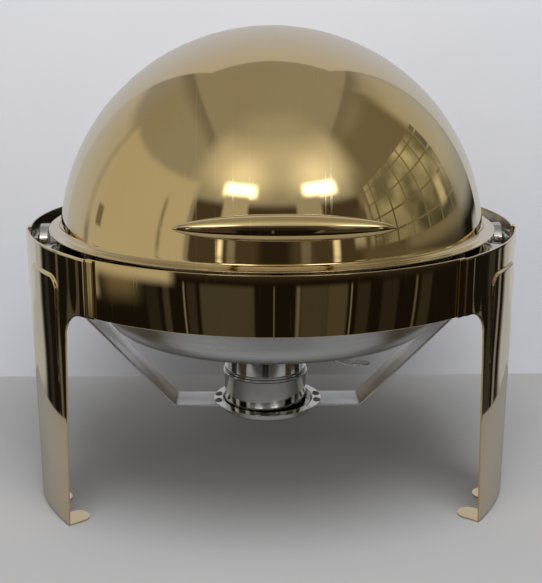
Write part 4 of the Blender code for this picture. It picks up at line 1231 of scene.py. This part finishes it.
def stage_material(name, colour, edge):
    """A matt stage surface. Mirrored rays pass beyond its edge; one with no edge passes them all,
    and is open from behind, so that the back of the dish can be looked at.
    """
    made = bpy.data.materials.new(name)
    made.use_nodes = True
    tree = made.node_tree
    shader = tree.nodes["Principled BSDF"]
    place = add(tree, "TexCoord").outputs["Object"]
    mirrored = calc(tree, "SUBTRACT", 1.0, add(tree, "LightPath").outputs["Is Camera Ray"])
    tone = cloth_tone(tree, place, colour)
    # painted shade: every ray but the camera's sees this surface a third darker, so the floor and wall are
    # darker in the metal's reflections and in bounce light
    painted_shade_tone = blend(tree, 0.32, tone, (0.0, 0.0, 0.0))
    feed(tree, shader.inputs["Base Color"], blend(tree, mirrored, tone, painted_shade_tone))
    shader.inputs["Roughness"].default_value = 0.85
    shader.inputs["Specular IOR Level"].default_value = 0.2
    if edge:
        half_x, front_y, back_y, soft = edge
        part = add(tree, "SeparateXYZ", {0: place})
        beyond = ramp(tree, calc(tree, "ABSOLUTE", part.outputs[0]), half_x - soft, half_x)
        beyond = calc(tree, "MAXIMUM", beyond, ramp(tree, part.outputs[1], front_y + soft, front_y))
        beyond = calc(tree, "MAXIMUM", beyond, ramp(tree, part.outputs[1], back_y - soft, back_y))
        passing = times(tree, beyond, mirrored)
    else:
        passing = calc(tree, "MAXIMUM", mirrored, add(tree, "NewGeometry").outputs["Backfacing"])
    mix = add(tree, "MixShader")
    feed(tree, mix.inputs[0], passing)
    tree.links.new(shader.outputs[0], mix.inputs[1])
    tree.links.new(add(tree, "BsdfTransparent").outputs[0], mix.inputs[2])
    tree.links.new(mix.outputs[0], tree.nodes["Material Output"].inputs["Surface"])
    return made


def stage_plane(name, corners, look):
    mesh = bpy.data.meshes.new(name)
    mesh.from_pydata(corners, [], [(0, 1, 2, 3)])
    mesh.materials.append(look)
    made = bpy.data.objects.new(name, mesh)
    bpy.context.scene.collection.objects.link(made)
    return made


def studio():
    """Pale floor, pale wall behind, and large soft lamps."""
    studio_world()
    wide = 6.0
    tall = 2.2
    behind = cad_high.y + 0.035
    floor = stage_material("pale_floor", (0.42, 0.42, 0.432), (0.43, -0.42, behind + 0.01, 0.012))
    wall = stage_material("pale_wall", (0.80, 0.815, 0.89), None)
    ground = [(-wide, -wide, 0.0), (wide, -wide, 0.0), (wide, wide, 0.0), (-wide, wide, 0.0)]
    upright = [(-wide, behind, 0.0), (wide, behind, 0.0), (wide, behind, tall), (-wide, behind, tall)]
    stage_plane("floor", ground, floor)
    stage_plane("wall", upright, wall)
    lamp("overhead", (0.1, -0.85, 1.8), (0.0, -0.1, 0.0), 1.3, 26.0)
    lamp("front_left", (-1.5, -1.6, 1.6), (0.0, 0.0, 0.2), 1.4, 4.5)
    lamp("wall_wash", (0.0, -0.9, 1.5), (0.0, behind, 0.35), 1.2, 5.0)


def lamp(name, place, target, size, power):
    """A large soft lamp that lights the matt surfaces; the metal mirrors the world instead."""
    light = bpy.data.lights.new(name, "AREA")
    light.shape = "DISK"
    light.size = size
    light.energy = power
    made = bpy.data.objects.new(name, light)
    made.location = place
    made.rotation_euler = (Vector(target) - Vector(place)).to_track_quat("-Z", "Y").to_euler()
    made.visible_glossy = False
    made.visible_camera = False
    bpy.context.scene.collection.objects.link(made)


def camera():
    """The photograph's viewpoint: 1 m away, a little above the cover's flange, looking down."""
    data = bpy.data.cameras.new("camera")
    data.sensor_width = 36.0
    data.lens = 36.0 * 1057.0 / 583.0
    made = bpy.data.objects.new("camera", data)
    yaw = radians(1.4)
    distance = 1.0
    made.location = (-distance * sin(yaw), -distance * cos(yaw), SEAT_Z + 0.193)
    made.rotation_euler = (radians(90.0 - 14.69), radians(-0.10), -yaw + radians(0.055))
    bpy.context.scene.collection.objects.link(made)
    bpy.context.scene.camera = made
    bpy.context.scene.view_settings.view_transform = "Standard"


# -------------------------------------------------------------------- assembly

def build_cover(gold_spun, gold, steel):
    cover_shell(gold_spun, steel)
    cover_handle(gold)
    for side, word in ((-1.0, "left"), (1.0, "right")):
        handle_post("handle_post_" + word, gold)
        handle_screw("handle_screw_" + word, steel)
        pivot_ear("pivot_ear_" + word, side, steel)


def build_stand(gold, steel, satin, pads, plastic):
    lap = LEG_WING - LAP
    left, right, rear = LEG_AZIMUTHS.values()
    for node, before, after in (("front_band", left, right), ("rear_band_right", right, rear),
                                ("rear_band_left", rear, left + 360.0)):
        band(node, before + lap, after - lap, gold, steel)
    for node, azimuth in LEG_AZIMUTHS.items():
        leg(node, azimuth, gold, gold, node == "leg_front_left")
    pan_shelf(steel)
    for number in (1, 2, 3):
        rest_pad("rest_pad_%d" % number, pads)
    for side, word in ((-1.0, "left"), (1.0, "right")):
        pivot_bracket("pivot_bracket_" + word, side, steel)
        pivot_bolt("pivot_bolt_" + word, side, steel)
        stop_pin("stop_pin_" + word, side, steel)
        ring_piece("pivot_washer_" + word, side, steel)
        ring_piece("pivot_spacer_" + word, side, plastic)
        burner_arm("burner_arm_" + word, side, satin)
        arm_bolt("arm_bolt_" + word, side, steel)
    for number in (1, 2, 3, 4):
        rivet("tray_rivet_%d" % number, satin)


def main():
    gold_spun = gold_mirror("gold_spun", True)
    gold = gold_mirror("gold_sheet", False)
    steel = polished_steel("steel_polished", (0.0, 0.0, 0.0))
    cup_steel = polished_steel("steel_cup", centre("fuel_cup"))
    build_cover(gold_spun, gold, steel)
    build_stand(gold, steel, brushed_steel("steel_strap"), rubber(), nylon())
    pan("water_pan", WATER_PAN_SHAPE, brushed_steel("steel_satin_pan", (0.0, 0.0, 0.0)))
    pan("food_pan", FOOD_PAN_SHAPE, polished_steel("steel_pan", (0.0, 0.0, 0.0)))
    burner_tray(cup_steel)
    fuel_cup(cup_steel)
    fuel_collar(cup_steel)
    rivet("damper_rivet", cup_steel)
    damper_plate(cup_steel)
    damper_grip(cup_steel)
    studio()
    camera()


main()
